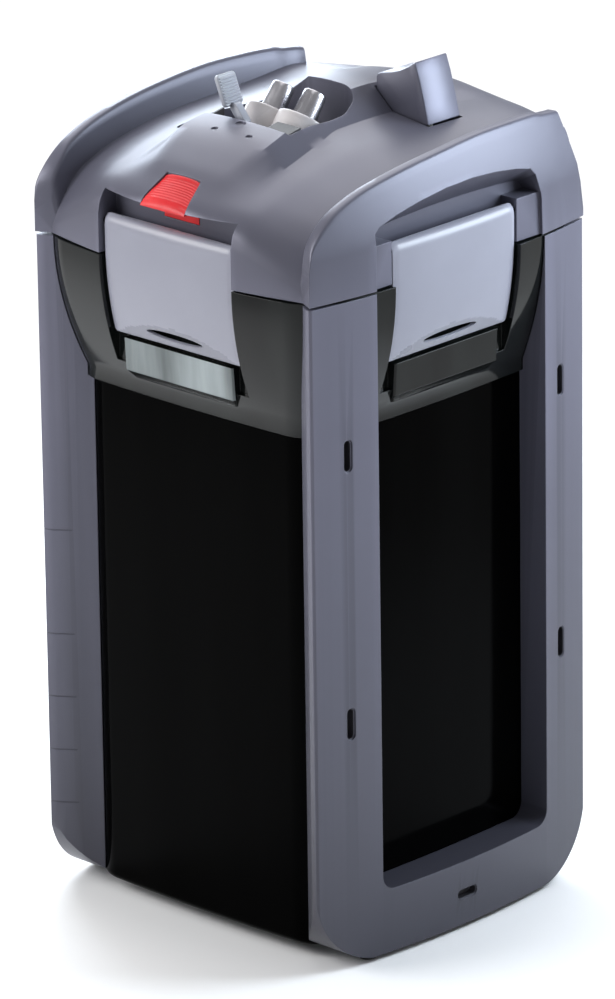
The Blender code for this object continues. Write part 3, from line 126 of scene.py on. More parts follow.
# Light boxes: azimuth, elevation, distance, size, power, height aimed at, tint
NEUTRAL, COOL = (1.0, 1.0, 1.0), (0.80, 0.90, 1.0)
LIGHT_BOXES = {"key_box": (-32.0, 20.0, 1.0, 0.6, 8.2, 0.42, NEUTRAL),
               "side_box": (128.0, 12.0, 0.6, 0.35, 5.2, 0.47, COOL),
               "left_box": (-120.0, 12.0, 0.8, 0.5, 6.0, 0.46, COOL),
               "top_box": (60.0, 82.0, 2.4, 1.6, 9.0, 0.25, NEUTRAL),
               "backdrop_box": (-136.0, 56.0, 3.4, 3.0, 80.0, 0.0, NEUTRAL)}
WORLD_TINT, WORLD_STRENGTH, FLOOR_REACH = (0.96, 0.97, 1.0, 1.0), 0.36, 40000.0

# Finishes: the pointiness where edges begin and end to wear, and the height in metres up to which painted
# shade darkens the colour towards the bottom
WORN, PAINTED_SHADE_HEIGHT, GRAIN_DEPTH, SOFT_EDGE = (0.52, 0.60), 0.30, 0.0003, 0.0007
SMOOTH_ANGLE = math.radians(32.0)


# ---- mesh helpers

def solid(name, points, faces):
    mesh = bpy.data.meshes.new(name)
    mesh.from_pydata([Vector(p) * MM for p in points], [], faces)
    mesh.validate()
    obj = bpy.data.objects.new(name, mesh)
    bpy.context.scene.collection.objects.link(obj)
    mesh.calc_loop_triangles()
    volume = 0.0
    for tri in mesh.loop_triangles:
        a, b, c = (mesh.vertices[i].co for i in tri.vertices)
        volume += a.dot(b.cross(c))
    if volume < 0.0:
        mesh.flip_normals()
    return obj


def band(rings, closed):
    """Points and faces of the skin through equal rings."""
    count = len(rings[0])
    faces = []
    for k in range(len(rings) if closed else len(rings) - 1):
        a, b = k * count, (k + 1) % len(rings) * count
        faces += [[a + n, a + (n + 1) % count, b + (n + 1) % count, b + n] for n in range(count)]
    return [p for ring in rings for p in ring], faces


def loft(name, rings, closed=False):
    """Skin equal rings; the ends are capped, or joined to each other when closed."""
    points, faces = band(rings, closed)
    if not closed:
        count = len(rings[0])
        faces += [list(range(count))[::-1], [(len(rings) - 1) * count + n for n in range(count)]]
    return solid(name, points, faces)


def prism(name, outline, low, high, axis="Z"):
    order = {"Z": (0, 1, 2), "X": (2, 0, 1), "Y": (0, 2, 1)}[axis]
    return loft(name, [[tuple((a, b, level)[n] for n in order) for a, b in outline] for level in (low,
                                                                                                  high)])


def box(name, low, high):
    return prism(name, ((low[0], low[1]), (high[0], low[1]), (high[0], high[1]), (low[0], high[1])),
                 low[2], high[2])


def circle(radius, count):
    return [(radius * math.cos(math.tau * i / count),
             radius * math.sin(math.tau * i / count)) for i in range(count)]


def axis_frame(start, end):
    """The start and the direction of a line, and the turn that lays Z along it."""
    start = Vector(start)
    along = (Vector(end) - start).normalized()
    return start, along, along.to_track_quat("Z", "Y").to_matrix()


def turned(name, start, end, profile, count=64):
    """Turn (millimetres along, radius) pairs about the line from start towards end."""
    start, along, spin = axis_frame(start, end)
    rings = [[start + along * part + spin @ Vector((a, b, 0.0)) for a, b in circle(radius, count)]
             for part, radius in profile]
    return loft(name, rings)


def rod(name, start, end, radius, count=48):
    return turned(name, start, end, ((0.0, radius), ((Vector(end) - Vector(start)).length, radius)), count)


def tube(name, start, end, profile, count):
    """A turned ring: a closed profile of (along, radius) pairs swept round the axis."""
    start, along, spin = axis_frame(start, end)
    rings = [[start + along * part + spin @ Vector((a * radius, b * radius, 0.0))
              for part, radius in profile] for a, b in circle(1.0, count)]
    return loft(name, rings, closed=True)


def combine(obj, other, operation):
    step = obj.modifiers.new(operation.lower(), "BOOLEAN")
    step.operation = operation
    step.solver = "EXACT"
    step.object = other
    return obj


def cut(obj, *cutters):
    for cutter in cutters:
        combine(obj, cutter, "DIFFERENCE")
    return obj


def join(obj, *others):
    for other in others:
        combine(obj, other, "UNION")
    return obj


def cutters_of(obj):
    found = []
    for step in obj.modifiers:
        if step.type == "BOOLEAN" and step.object:
            found.append(step.object)
            found += cutters_of(step.object)
    return found


def applied(obj):
    bpy.context.view_layer.update()
    mesh = bpy.data.meshes.new_from_object(obj.evaluated_get(bpy.context.evaluated_depsgraph_get()))
    obj.modifiers.clear()
    obj.data = mesh


def shade(mesh):
    mesh.shade_smooth()
    mesh.set_sharp_from_angle(angle=SMOOTH_ANGLE)


def settle(obj, bevel=0.0):
    """Apply the cuts, drop the cutters, round the sharp edges and shade smooth."""
    used = cutters_of(obj)
    applied(obj)
    for other in dict.fromkeys(used):
        bpy.data.objects.remove(other, do_unlink=True)
    if bevel > 0.0:
        weld = obj.modifiers.new("weld", "WELD")
        weld.merge_threshold = 0.00003
        step = obj.modifiers.new("bevel", "BEVEL")
        step.width = bevel * MM
        step.segments = 2
        step.limit_method = "ANGLE"
        step.angle_limit = math.radians(38.0)
        step.miter_outer = "MITER_ARC"
        step.use_clamp_overlap = True
        applied(obj)
    shade(obj.data)


def table(pairs, at):
    """Read a table with straight lines between its points."""
    if at <= pairs[0][0]:
        return pairs[0][1]
    for (a, low), (b, high) in zip(pairs, pairs[1:]):
        if at <= b:
            return low + (high - low) * (at - a) / (b - a)
    return pairs[-1][1]


def smooth_table(pairs, at):
    """Read a table with a curve that keeps each stretch monotone (Fritsch-Carlson)."""
    if at <= pairs[0][0]:
        return pairs[0][1]
    if at >= pairs[-1][0]:
        return pairs[-1][1]
    slopes = [(b[1] - a[1]) / (b[0] - a[0]) for a, b in zip(pairs, pairs[1:])]
    k = next(i for i in range(len(slopes)) if at <= pairs[i + 1][0])
    ends = []
    for i in (k, k + 1):
        if i in (0, len(slopes)):
            ends.append(slopes[min(i, len(slopes) - 1)])
        elif slopes[i - 1] * slopes[i] <= 0.0:
            ends.append(0.0)
        else:
            ends.append(2.0 * slopes[i - 1] * slopes[i] / (slopes[i - 1] + slopes[i]))
    width = pairs[k + 1][0] - pairs[k][0]
    t = (at - pairs[k][0]) / width
    a, b = pairs[k][1], pairs[k + 1][1]
    return (a * (2 * t ** 3 - 3 * t ** 2 + 1) + b * (3 * t ** 2 - 2 * t ** 3)
            + width * (ends[0] * (t ** 3 - 2 * t ** 2 + t) + ends[1] * (t ** 3 - t ** 2)))


def rounded_box(low, high, radius, steps=8):
    points = []
    centres = ((high[0] - radius, high[1] - radius, 0), (low[0] + radius, high[1] - radius, 1),
               (low[0] + radius, low[1] + radius, 2), (high[0] - radius, low[1] + radius, 3))
    for x, y, quarter in centres:
        for k in range(steps + 1):
            angle = 0.5 * math.pi * (quarter + k / steps)
            points.append((x + radius * math.cos(angle), y + radius * math.sin(angle)))
    return points


def bulged(outline, inset=0.0, corner_steps=10, side_steps=9):
    """A rounded rectangle whose sides bulge, moved in by inset."""
    half_x, half_y, bulge_x, bulge_y, radius = outline
    half_x -= inset
    half_y -= inset
    radius = max(radius - inset, 3.0)
    sides = [math.sin(0.5 * math.pi * k / side_steps) for k in range(side_steps)]
    turns = [0.5 * math.pi * k / corner_steps for k in range(corner_steps + 1)]
    quarter = [(half_x, (half_y - radius) * share) for share in sides]
    quarter += [(half_x - radius + radius * math.cos(a),
                 half_y - radius + radius * math.sin(a)) for a in turns]
    quarter += [((half_x - radius) * share, half_y) for share in reversed(sides)]
    points = []
    for sx, sy, order in ((1, 1, 1), (-1, 1, -1), (-1, -1, 1), (1, -1, -1)):
        points += [(sx * x, sy * y) for x, y in quarter[::order]][:-1]
    return [(x * (1.0 + bulge_x / half_x * max(0.0, 1.0 - (y / half_y) ** 2)),
             y * (1.0 + bulge_y / half_y * max(0.0, 1.0 - (x / half_x) ** 2))) for x, y in points]


def inset_outline(points, distance):
    """Move an outline inwards, or outwards by a negative distance."""
    moved = []
    count = len(points)
    for i in range(count):
        before, here, after = (Vector(points[(i + k) % count]) for k in (-1, 0, 1))
        first = (here - before).normalized()
        second = (after - here).normalized()
        normal_1 = Vector((-first.y, first.x))
        normal_2 = Vector((-second.y, second.x))
        mitre = (normal_1 + normal_2) / (1.0 + normal_1.dot(normal_2))
        moved.append(tuple(here + mitre * distance))
    return moved


def round_corners(points, radius, steps=5):
    """Replace an outline's corners by arcs of about the given radius."""
    out = []
    count = len(points)
    for i in range(count):
        before, here, after = (Vector(points[(i + k) % count]) for k in (-1, 0, 1))
        back = before - here
        ahead = after - here
        reach = min(radius, 0.45 * back.length, 0.45 * ahead.length)
        a = here + back.normalized() * reach
        b = here + ahead.normalized() * reach
        for k in range(steps + 1):
            t = k / steps
            out.append(tuple(a * (1 - t) ** 2 + here * 2 * t * (1 - t) + b * t * t))
    return out


def side_x(y):
    return HALF_X + BULGE_X * (1.0 - (y / HALF_Y) ** 2)


def turned_point(side, x, y, z):
    """Turn a point laid out for the front side to another side."""
    return {"front": (x, y, z), "rear": (-x, -y, z), "right": (-y, x, z), "left": (y, -x, z)}[side]


def side_box(name, side, back, low, high, half=POCKET_HALF, outer=135.0):
    corners = [turned_point(side, x, y, z) for x, y, z in ((-half, -outer, low), (half, -back, high))]
    lower = [min(a, b) for a, b in zip(*corners)]
    upper = [max(a, b) for a, b in zip(*corners)]
    return box(name, lower, upper)


# ---- materials

def srgb(*values):
    """Eight-bit display values as a linear colour."""
    out = []
    for value in values:
        share = value / 255.0
        out.append(share / 12.92 if share <= 0.04045 else ((share + 0.055) / 1.055) ** 2.4)
    return (*out, 1.0)


def noise(tree, vector, scale, detail):
    node = tree.nodes.new("ShaderNodeTexNoise")
    node.inputs["Scale"].default_value = scale
    node.inputs["Detail"].default_value = detail
    tree.links.new(vector, node.inputs["Vector"])
    return node.outputs["Fac"]


def mapped(tree, source, start, end, low, high):
    """Map a value's stretch from start to end onto low to high."""
    node = tree.nodes.new("ShaderNodeMapRange")
    for key, value in zip(("From Min", "From Max", "To Min", "To Max"), (start, end, low, high)):
        node.inputs[key].default_value = value
    tree.links.new(source, node.inputs["Value"])
    return node.outputs["Result"]


def mixed(tree, share, colour, tone):
    """Blend a colour towards a fixed tone by a varying share."""
    node = tree.nodes.new("ShaderNodeMix")
    node.data_type = "RGBA"
    node.inputs["B"].default_value = srgb(*tone)
    tree.links.new(share, node.inputs["Factor"])
    tree.links.new(colour, node.inputs["A"])
    return node.outputs["Result"]


def finish(name, dark, light, rough=(0.4, 0.5), spread=18.0, grain=900.0, bump=0.05, stretch=(1, 1, 1),
           wear=0.0, lower_shade=0.0, **sockets):
    """A moulded or metal finish: two tones in soft clouds, uneven gloss, fine grain, worn edges and, where
    asked, painted shade that darkens it towards the bottom.
    """
    mat = bpy.data.materials.new(name)
    mat.use_nodes = True
    tree = mat.node_tree
    nodes, links = tree.nodes, tree.links
    shader = nodes["Principled BSDF"]
    place = nodes.new("ShaderNodeTexCoord")
    scale = nodes.new("ShaderNodeMapping")
    scale.inputs["Scale"].default_value = stretch
    links.new(place.outputs["Object"], scale.inputs["Vector"])
    cloud = noise(tree, scale.outputs["Vector"], spread, 5.0)
    ramp = nodes.new("ShaderNodeValToRGB")
    for stop, position, tone in zip(ramp.color_ramp.elements, (0.35, 0.65), (dark, light)):
        stop.position = position
        stop.color = srgb(*tone)
    links.new(cloud, ramp.inputs["Fac"])
    colour = ramp.outputs["Color"]
    if wear > 0.0:
        geometry = nodes.new("ShaderNodeNewGeometry")
        edge = mapped(tree, geometry.outputs["Pointiness"], *WORN, 0.0, wear)
        colour = mixed(tree, edge, colour, [min(255, v * 1.3) for v in light])
    if lower_shade > 0.0:
        # Painted shade: the colour darkens towards the bottom, standing for less light on the lower parts.
        height = nodes.new("ShaderNodeSeparateXYZ")
        links.new(place.outputs["Object"], height.inputs["Vector"])
        low = mapped(tree, height.outputs["Z"], 0.0, PAINTED_SHADE_HEIGHT, lower_shade, 0.0)
        colour = mixed(tree, low, colour, [0.3 * v for v in dark])
    links.new(colour, shader.inputs["Base Color"])
    links.new(mapped(tree, cloud, 0.3, 0.7, *rough), shader.inputs["Roughness"])
    grains = nodes.new("ShaderNodeBump")
    grains.inputs["Strength"].default_value = bump
    grains.inputs["Distance"].default_value = GRAIN_DEPTH
    links.new(noise(tree, scale.outputs["Vector"], grain, 3.0), grains.inputs["Height"])
    soft = nodes.new("ShaderNodeBevel")
    soft.samples = 4
    soft.inputs["Radius"].default_value = SOFT_EDGE
    links.new(soft.outputs["Normal"], grains.inputs["Normal"])
    links.new(grains.outputs["Normal"], shader.inputs["Normal"])
    for key, value in sockets.items():
        shader.inputs[key.replace("_", " ")].default_value = value
    return mat


def streaked(name, dark, light, **sockets):
    """Smoked clear plastic: near black, with soft upright streaks of painted highlight."""
    return finish(name, dark, light, (0.06, 0.16), 9.0, 300.0, 0.01, (2.6, 2.6, 0.35), **sockets)


# The finish of each of the record's material slots, and the finishes of details
LOOKS = {
    # The casing's colour carries painted shade that darkens it towards the bottom.
    "grey_casing": finish("casing_grey", (86, 86, 99), (91, 91, 104), (0.36, 0.42), 9.0, 1500.0, 0.12,
                          wear=0.5, lower_shade=0.65, Metallic=0.3),
    "silver_plastic": finish("satin_silver", (136, 137, 149), (142, 143, 155), (0.28, 0.34), 12.0, 900.0,
                             0.05, wear=0.7),
    "smoked_vessel": streaked("smoked_vessel", (0, 0, 0), (2, 2, 2), Specular_IOR_Level=0.015),
    "black_plastic": finish("black_moulding", (14, 14, 15), (24, 24, 26), (0.4, 0.55), 30.0, 1300.0, 0.12),
    "basket_plastic": finish("basket_moulding", (26, 27, 29), (38, 39, 41), (0.42, 0.55), 30.0, 1300.0,
                             0.12),
    "rubber": finish("dark_rubber", (18, 18, 19), (30, 30, 31), (0.7, 0.85), 40.0, 1600.0, 0.3),
    "pearl_plastic": finish("pearl_plastic", (172, 168, 170), (200, 196, 197), (0.2, 0.32), 26.0, 900.0,
                            0.03),
    "dark_chrome": finish("dark_chrome", (168, 166, 171), (204, 202, 206), (0.22, 0.34), 40.0, 900.0, 0.02,
                          Metallic=1.0),
    "red_window": finish("red_window", (204, 32, 39), (230, 58, 61), (0.3, 0.4), 40.0, 500.0, 0.03,
                         Transmission_Weight=0.15, Specular_IOR_Level=0.25),
    "white_plastic": finish("white_acetal", (205, 204, 198), (226, 225, 220), (0.35, 0.45), 30.0, 1000.0,
                            0.04),
    "magnet": finish("ferrite", (34, 33, 34), (52, 50, 50), (0.5, 0.65), 60.0, 1400.0, 0.25),
    "ceramic_shaft": finish("ceramic_shaft", (214, 210, 200), (232, 228, 220), (0.2, 0.3), 40.0, 1400.0,
                            0.03),
    "steel": finish("bright_steel", (150, 151, 155), (186, 187, 190), (0.18, 0.3), 60.0, 1400.0, 0.04,
                    Metallic=1.0),
    "ceramic_media": finish("ceramic_rings", (186, 176, 160), (222, 214, 200), (0.75, 0.9), 120.0, 2200.0,
                            0.5),
    "porous_media": finish("porous_granules", (120, 92, 74), (170, 138, 112), (0.8, 0.95), 160.0, 2400.0,
                           0.6),
    "fine_fleece": finish("white_fleece", (214, 214, 210), (238, 238, 235), (0.85, 0.98), 90.0, 2600.0,
                          0.9, Sheen_Weight=0.4),
    "coarse_foam": finish("blue_foam", (38, 74, 122), (66, 108, 160), (0.85, 0.98), 220.0, 1500.0, 1.0,
                          Sheen_Weight=0.2),
}
# A darker grey: painted shade on the slots' floors and walls; the adapter block wears it too.
GREY_DARK = finish("shadow_grey", (30, 29, 34), (40, 39, 45), (0.45, 0.6), 20.0, 1500.0, 0.1)
# A darker copy of the clips' satin silver: painted shade on their crescent facets.
SHADED_FACET = finish("silver_facet_shade", (118, 119, 130), (126, 127, 138), (0.26, 0.32), 12.0, 900.0, 0.05)
# The collar: the vessel's smoked plastic painted lighter for the light through its thick rim, with painted
# highlight streaks.
LIT_SMOKE_RIM = streaked("smoked_collar", (3, 4, 4), (24, 27, 26), Specular_IOR_Level=0.28)
# Painted reflection on the front and rear catch faces, as bright streaks over a dark tone.
CATCH_REFLECTION = streaked("catch_painted_reflection", (44, 50, 50), (146, 155, 157), Specular_IOR_Level=0.4)
LEVER = finish("lever_silver", (140, 143, 153), (156, 159, 168), (0.3, 0.42), 50.0, 900.0, 0.06, wear=0.6)
FLOOR = finish("studio_floor", (246, 246, 247), (250, 250, 250), (0.8, 0.9), 2.0, 60.0, 0.01)


def dress(obj, body, node, slot, look=None):
    """Give a piece the body it rides on and the finish of its slot, and hide the solid it stands for."""
    obj.data.materials.clear()
    obj.data.materials.append(look or LOOKS[slot])
    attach(obj, body)
    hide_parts(node)


# ---- vessel and side frames

def tub_rings(inset, grow=0.0, steps=14):
    """The vessel's outline from its round foot to the flared collar."""
    move = inset - grow
    rings = []
    for k in range(6):
        angle = 0.5 * math.pi * k / 5
        rings.append([(x, y, TUB_BOTTOM + inset - grow + 5.0 * (1.0 - math.cos(angle)))
                      for x, y in bulged(LOWER, move + 5.0 * (1.0 - math.sin(angle)))])
    rings.append([(x, y, RIM_LOW - inset) for x, y in bulged(LOWER, move)])
    low = bulged(RIM, move)
    high = bulged(COLLAR, move)
    rings.append([(x, y, RIM_LOW + 1.0 - inset) for x, y in low])
    rings.append([(x, y, RIM_HIGH) for x, y in low])
    for k in range(1, steps + 1):
        t = k / steps
        share = 1.0 - (1.0 - t) ** 2
        level = RIM_HIGH + (COLLAR_TOP - RIM_HIGH) * t
        if k == steps:
            level += max(inset, grow)
        rings.append([(a + (c - a) * share, b + (d - b) * share, level)
                      for (a, b), (c, d) in zip(low, high)])
    return rings


def neck_outline(inset):
    half_x, half_y, radius = NECK
    return rounded_box((inset - half_x, inset - half_y), (half_x - inset, half_y - inset), radius - inset)


def catch_block(side):
    """The polished step that a clip snaps over."""
    half, low, high = CATCH
    face = SIDES[side] - 8.6
    back = SIDES[side] - POCKET_BACK - 2.0
    rings = []
    for level, reach, out in ((low - 5.0, half - 3.0, face - 6.0), (low, half, face - 1.6),
                              (low + 0.7, half + 0.2, face - 1.0), (high, half, face + 0.2)):
        outline = ((-reach, -out + 1.0), (-reach + 1.0, -out), (reach - 1.0, -out), (reach, -out + 1.0),
                   (reach, -back), (-reach, -back))
        rings.append([turned_point(side, x, y, level) for x, y in outline])
    return loft("catch_" + side, rings)


def on_catch(point):
    """True for a point on the outer faces of the front or the rear catch block."""
    half, low, high = CATCH
    face = SIDES["front"]
    across = abs(point.x) < (half + 0.3) * MM and face - 10.0 < abs(point.y) / MM < face
    return across and low - 0.2 < point.z / MM < high + 0.4


def make_vessel():
    """The smoked vessel, hollow and open at the top, with its collar in a lighter tone that is painted light.
    """
    tub = loft("vessel_shell", tub_rings(0.0))
    hollow = loft("collar_hollow", tub_rings(TUB_WALL))
    cut(hollow, prism("neck_wall", neck_outline(-3.1), 0.0, 450.0))
    cut(hollow, box("below_collar", (-150.0, -150.0, 0.0), (150.0, 150.0, HOLLOW_LOW)))
    for side in SIDES:
        cut(hollow, side_box("lining_" + side, side, 60.0, 300.0, 420.0, POCKET_HALF + TUB_WALL))
    cut(tub, hollow)
    inside = [[(x, y, level) for x, y in bulged(LOWER, inset)]
              for level, inset in ((TUB_FLOOR, 9.0), (TUB_FLOOR + 5.0, TUB_WALL), (RIM_LOW - 8.0, TUB_WALL))]
    cut(tub, loft("tub_inside", inside))
    cut(tub, prism("neck_inside", neck_outline(0.0), RIM_LOW - 9.0, 450.0))
    for side, face in SIDES.items():
        cut(tub, side_box("collar_pocket_" + side, side, face - POCKET_BACK, POCKET_LOW, 410.0))
        join(tub, catch_block(side))
    settle(tub)
    dress(tub, "canister", "canister_tub", "smoked_vessel")
    tub.data.materials.append(LIT_SMOKE_RIM)
    tub.data.materials.append(CATCH_REFLECTION)
    # Front and rear catch faces get the painted reflection, the rest of the collar its lighter painted-light
    # tone.
    for face in tub.data.polygons:
        if on_catch(face.center):
            face.material_index = 2
        elif face.center.z > (RIM_LOW - 0.5) * MM:
            face.material_index = 1


def frame_plan():
    inner_x, inner_y = PILLAR_INNER
    corner = [(inner_x, -inner_y), (90.5, -103.2), (94.6, -106.6), (FRONT_END_X, -109.4), (101.6, -111.8),
              (104.6, -113.3), (107.0, -113.8)]
    edge = [(side_x(y), y) for y in [-112.6 + 5.63 * k for k in range(41)]]
    return corner + edge + [(x, -y) for x, y in reversed(corner)]


def obround(sign, y, z, width, height, grow=0.0, deep=SLOT_DEPTH):
    wide, tall = width / 2 + grow, height / 2 + grow
    outline = rounded_box((y - wide, z - tall), (y + wide, z + tall), min(wide, tall) - 0.01)
    return prism("slot", outline, sign * (side_x(y) - deep), sign * 130.0, "X")


def make_frame(word, sign):
    """A side frame with rounded window, slots with a stepped lip, and on the left frame fine grooves round its
    pillars.
    """
    plan = [(sign * x, y) for x, y in frame_plan()]
    frame_obj = prism("frame_shell_" + word, plan, FRAME_BOTTOM, FRAME_TOP)
    profile = [(130.0, 420.0), (-130.0, 420.0)]
    for k in range(19):
        angle = math.pi + 0.5 * math.pi * k / 18
        profile.append((-HALF_Y + 1.0 + FRAME_RADIUS + (FRAME_RADIUS + 1.0) * math.cos(angle),
                        FRAME_BOTTOM + FRAME_RADIUS + (FRAME_RADIUS + 0.6) * math.sin(angle)))
    profile += [(-y, z) for y, z in reversed(profile[2:])]
    combine(frame_obj, prism("profile", profile, sign * 60.0, sign * 140.0, "X"), "INTERSECT")
    low_y, high_y, low_z = WINDOW
    window = rounded_box((low_y, low_z), (high_y, 430.0), WINDOW_RADIUS, 10)
    cut(frame_obj, prism("window", window, sign * 60.0, sign * 140.0, "X"))
    cut(frame_obj, loft("vessel_room", tub_rings(0.0, 0.3)))
    if sign < 0.0:
        lines = [box("line", (-152.0, -140.0, z), (-72.0, 140.0, z + GROOVE_WIDTH)) for z in GROOVE_HEIGHTS]
        groove = join(lines[0], *lines[1:])
        keep = [(-x, y) for x, y in inset_outline(frame_plan(), GROOVE_DEPTH)]
        cut(groove, prism("groove_keep", keep, 0.0, 430.0))
        cut(groove, box("groove_face", (-140.0, -105.0, 0.0), (140.0, 105.0, 430.0)))
        cut(frame_obj, groove)
    for slot in SLOTS:
        cut(frame_obj, obround(sign, *slot), obround(sign, *slot, *SLOT_LIP))
    settle(frame_obj)
    dress(frame_obj, "canister", "side_frame_" + word, "grey_casing")
    # Painted shade for the slots' floors and walls.
    frame_obj.data.materials.append(GREY_DARK)
    shade_slots(frame_obj, sign)


def shade_slots(obj, sign):
    """The slots' floors and walls get a darker grey as painted shade in the recesses."""
    for face in obj.data.polygons:
        centre = face.center / MM
        inward = side_x(centre.y) - sign * centre.x
        for y, z, width, height in SLOTS:
            near = abs(centre.y - y) < 0.5 * width + 0.5 and abs(centre.z - z) < 0.5 * height + 0.7
            if near and 1.2 < inward < 6.0:
                face.material_index = 1


def make_foot(word, x, y):
    """A rubber knob with a rounded tread and a stem."""
    profile = [(0.0, 3.4), (0.15, 4.2), (0.5, 4.9), (1.0, 5.2), (2.2, 5.2), (2.5, 5.0), (2.7, 5.2),
               (2.86, 5.1), (2.88, 2.6), (9.4, 2.4)]
    foot = turned("foot_" + word + "_shell", (x, y, 0.0), (x, y, 9.6), profile, 40)
    settle(foot)
    dress(foot, "canister", "foot_" + word, "rubber")


# ---- head

def end_limit(x):
    """How far the head reaches forwards and backwards at x."""
    return FRONT_MID - FRONT_SAG * min(1.3, (x / FRONT_END_X) ** 2)


def wing_lean(z):
    return WING_LEAN * max(0.0, (z - SHOULDER_TOP) / WING_LEAN_RISE) ** 1.3


def lid_edge(row):
    """Where the domed body ends under the wing."""
    return side_x(0.88 * row) - 4.0 - wing_lean(smooth_table(EDGE_Z, row))


def head_height(x, row):
    """The dome's height: a raised spine, its shoulders and the flanks down to the wings."""
    spine, flank, edge, inner, outer = (smooth_table(pairs, row)
                                        for pairs in (SPINE_Z, FLANK_Z, EDGE_Z, SPINE_IN, SPINE_OUT))
    across = abs(x)
    side = lid_edge(row)
    slope = (edge - flank) / (side - FLANK_X)
    if across <= inner:
        return spine - SPINE_CROWN * (across / inner) ** 2
    shoulder = flank + 0.5 * slope * (outer - FLANK_X)
    if across <= outer:
        return spine - SPINE_CROWN + (shoulder - spine + SPINE_CROWN) * (across - inner) / (outer - inner)
    if across <= FLANK_X:
        return flank + 0.5 * slope * (across - FLANK_X)
    return flank + slope * (across - FLANK_X)


def lid_solid(name, drop, low, rows, parts, reach_x=None, reach_y=None):
    """The domed body as a grid of rows and columns above a flat bottom."""
    shrink = 1.0 if reach_y is None else reach_y / FRONT_MID
    top = []
    for row in rows:
        side = lid_edge(row) if reach_x is None else reach_x
        stops = (0.0, smooth_table(SPINE_IN, row), smooth_table(SPINE_OUT, row), FLANK_X + 2.0, side)
        half = []
        for (a, b), count in zip(zip(stops, stops[1:]), parts):
            half += [a + (b - a) * (k + 1) / count for k in range(count)]
        across = [-x for x in reversed(half)] + [0.0] + half
        line = []
        for x in across:
            y = row * shrink * end_limit(x) / FRONT_MID
            line.append((x, y, head_height(x, max(-122.0, min(122.0, row * shrink))) - drop))
        top.append(line)
    wide = len(top[0])
    points = [p for line in top for p in line]
    points += [(x, y, low) for line in top for x, y, z in line]
    total = len(top) * wide
    faces = []
    for r in range(len(top) - 1):
        for c in range(wide - 1):
            a = r * wide + c
            faces.append([a, a + 1, a + wide + 1, a + wide])
            faces.append([total + i for i in (a, a + wide, a + wide + 1, a + 1)])
    border = list(range(wide)) + [r * wide + wide - 1 for r in range(1, len(top))]
    border += [(len(top) - 1) * wide + c for c in range(wide - 2, -1, -1)]
    border += [r * wide for r in range(len(top) - 2, 0, -1)]
    for i, a in enumerate(border):
        b = border[(i + 1) % len(border)]
        faces.append([a, total + a, total + b, b])
    return solid(name, points, faces)


def wing(word, sign):
    """A side wing that leans inwards towards its curved top edge, with rounded lips."""
    rings = []
    stations = [-114.0, -113.6, -113.0, -112.0] + [-110.0 + 4.0 * k for k in range(53)]
    stations += [99.4, 100.0, 100.6, 101.5, 103.0, 104.5, 107.0, 109.0, 111.0, 112.5, 113.4, 114.0]
    for y in stations:
        top = (smooth_table if y < 80.0 else table)(WING_TOP, y)
        outer = side_x(y)
        end = max(0.0, (abs(y) - 92.0) / 22.0)
        thick = WING_THICK + (WING_END_THICK - WING_THICK) * end
        lean_y = -4.4 * end * math.copysign(1.0, y)
        start = max(HEAD_BOTTOM, min(SHOULDER_TOP, top - 8.0))
        levels = [HEAD_BOTTOM - 1.0] + [start + (top - 1.8 - start) * k / 8 for k in range(9)]
        section = [(0.0, z) for z in levels]
        section += [(0.4, top - 0.7), (1.5, top), (thick - 1.5, top), (thick - 0.4, top - 0.6)]
        section = [(x + wing_lean(z), z) for x, z in section]
        foot = thick + wing_lean(top)
        section += [(foot + WING_TAPER * min(30.0, top - z), z) for z in reversed(levels)]
        rings.append([(sign * (outer - x), y + lean_y * x / thick, z) for x, z in section])
    return loft("wing_" + word, rings)


def lens_rings(grow, ribs):
    """Sections of the red window along y; with grow they cut its place in the head."""
    (low_y, low_half), (high_y, high_half) = LENS_LOW, LENS_HIGH
    wall = -(SIDES["front"] - POCKET_BACK)
    lift = 0.0 if grow == 0.0 else 4.0
    stations = [low_y + (wall - 0.4 - low_y) * k / ribs for k in range(ribs + 1)]
    stations += [wall - 0.3 - grow, wall - 0.2 - grow, 0.5 * (wall + high_y) - 0.2, high_y]
    rings = []
    for i, y in enumerate(stations):
        share = (y - low_y) / (high_y - low_y)
        half = low_half + (high_half - low_half) * share + grow
        place = y + (grow if y == high_y else 0.0) - (5.0 if y == low_y and grow > 0.0 else 0.0)
        top = smooth_table(SPINE_Z, y) - 0.2 + lift
        if grow == 0.0:
            top += 0.22 if i % 2 else -0.12
        bottom = POCKET_TOP - 1.2 - grow if y < wall - 0.25 - grow else LENS_SKIRT - grow
        ring = [(-half, place, bottom), (half, place, bottom)]
        for k in range(9):
            x = half * (1.0 - k / 4.0)
            drop = 0.5 if k in (0, 8) and not grow else 0.0
            ring.append((x, place, top - SPINE_CROWN * (x / half) ** 2 - drop))
        rings.append(ring)
    return rings


def side_pocket(sign):
    """Cutters for the arched recess and the bay of a side clip."""
    back = SIDES["left"] - POCKET_BACK
    upper = [(ARCH[0][0], SHOULDER_TOP)] + list(ARCH[1:-2]) + [(ARCH[-2][0] - 0.8, SHOULDER_TOP)]
    rings = []
    for x, rise in ((back, ARCH_CEILING), (side_x(0.0) - ARCH_LIP, 1.0), (140.0, 1.0)):
        rings.append([(sign * x, y, SHOULDER_TOP + (z - SHOULDER_TOP) * rise) for y, z in upper])
    deep = loft("arch", rings)
    bay = box("bay", (min(sign * back, sign * 140.0), -POCKET_HALF, 390.0),
              (max(sign * back, sign * 140.0), POCKET_HALF, SHOULDER_TOP + 2.0))
    shallow = [ARCH[0], (ARCH[0][0], SHOULDER_TOP + 0.5), (ARCH[-2][0] - 0.8, SHOULDER_TOP + 0.5),
               *ARCH[-2:]]
    step = prism("step", shallow, sign * (side_x(60.0) - SHOULDER_SETBACK), sign * 140.0, "X")
    return deep, bay, step


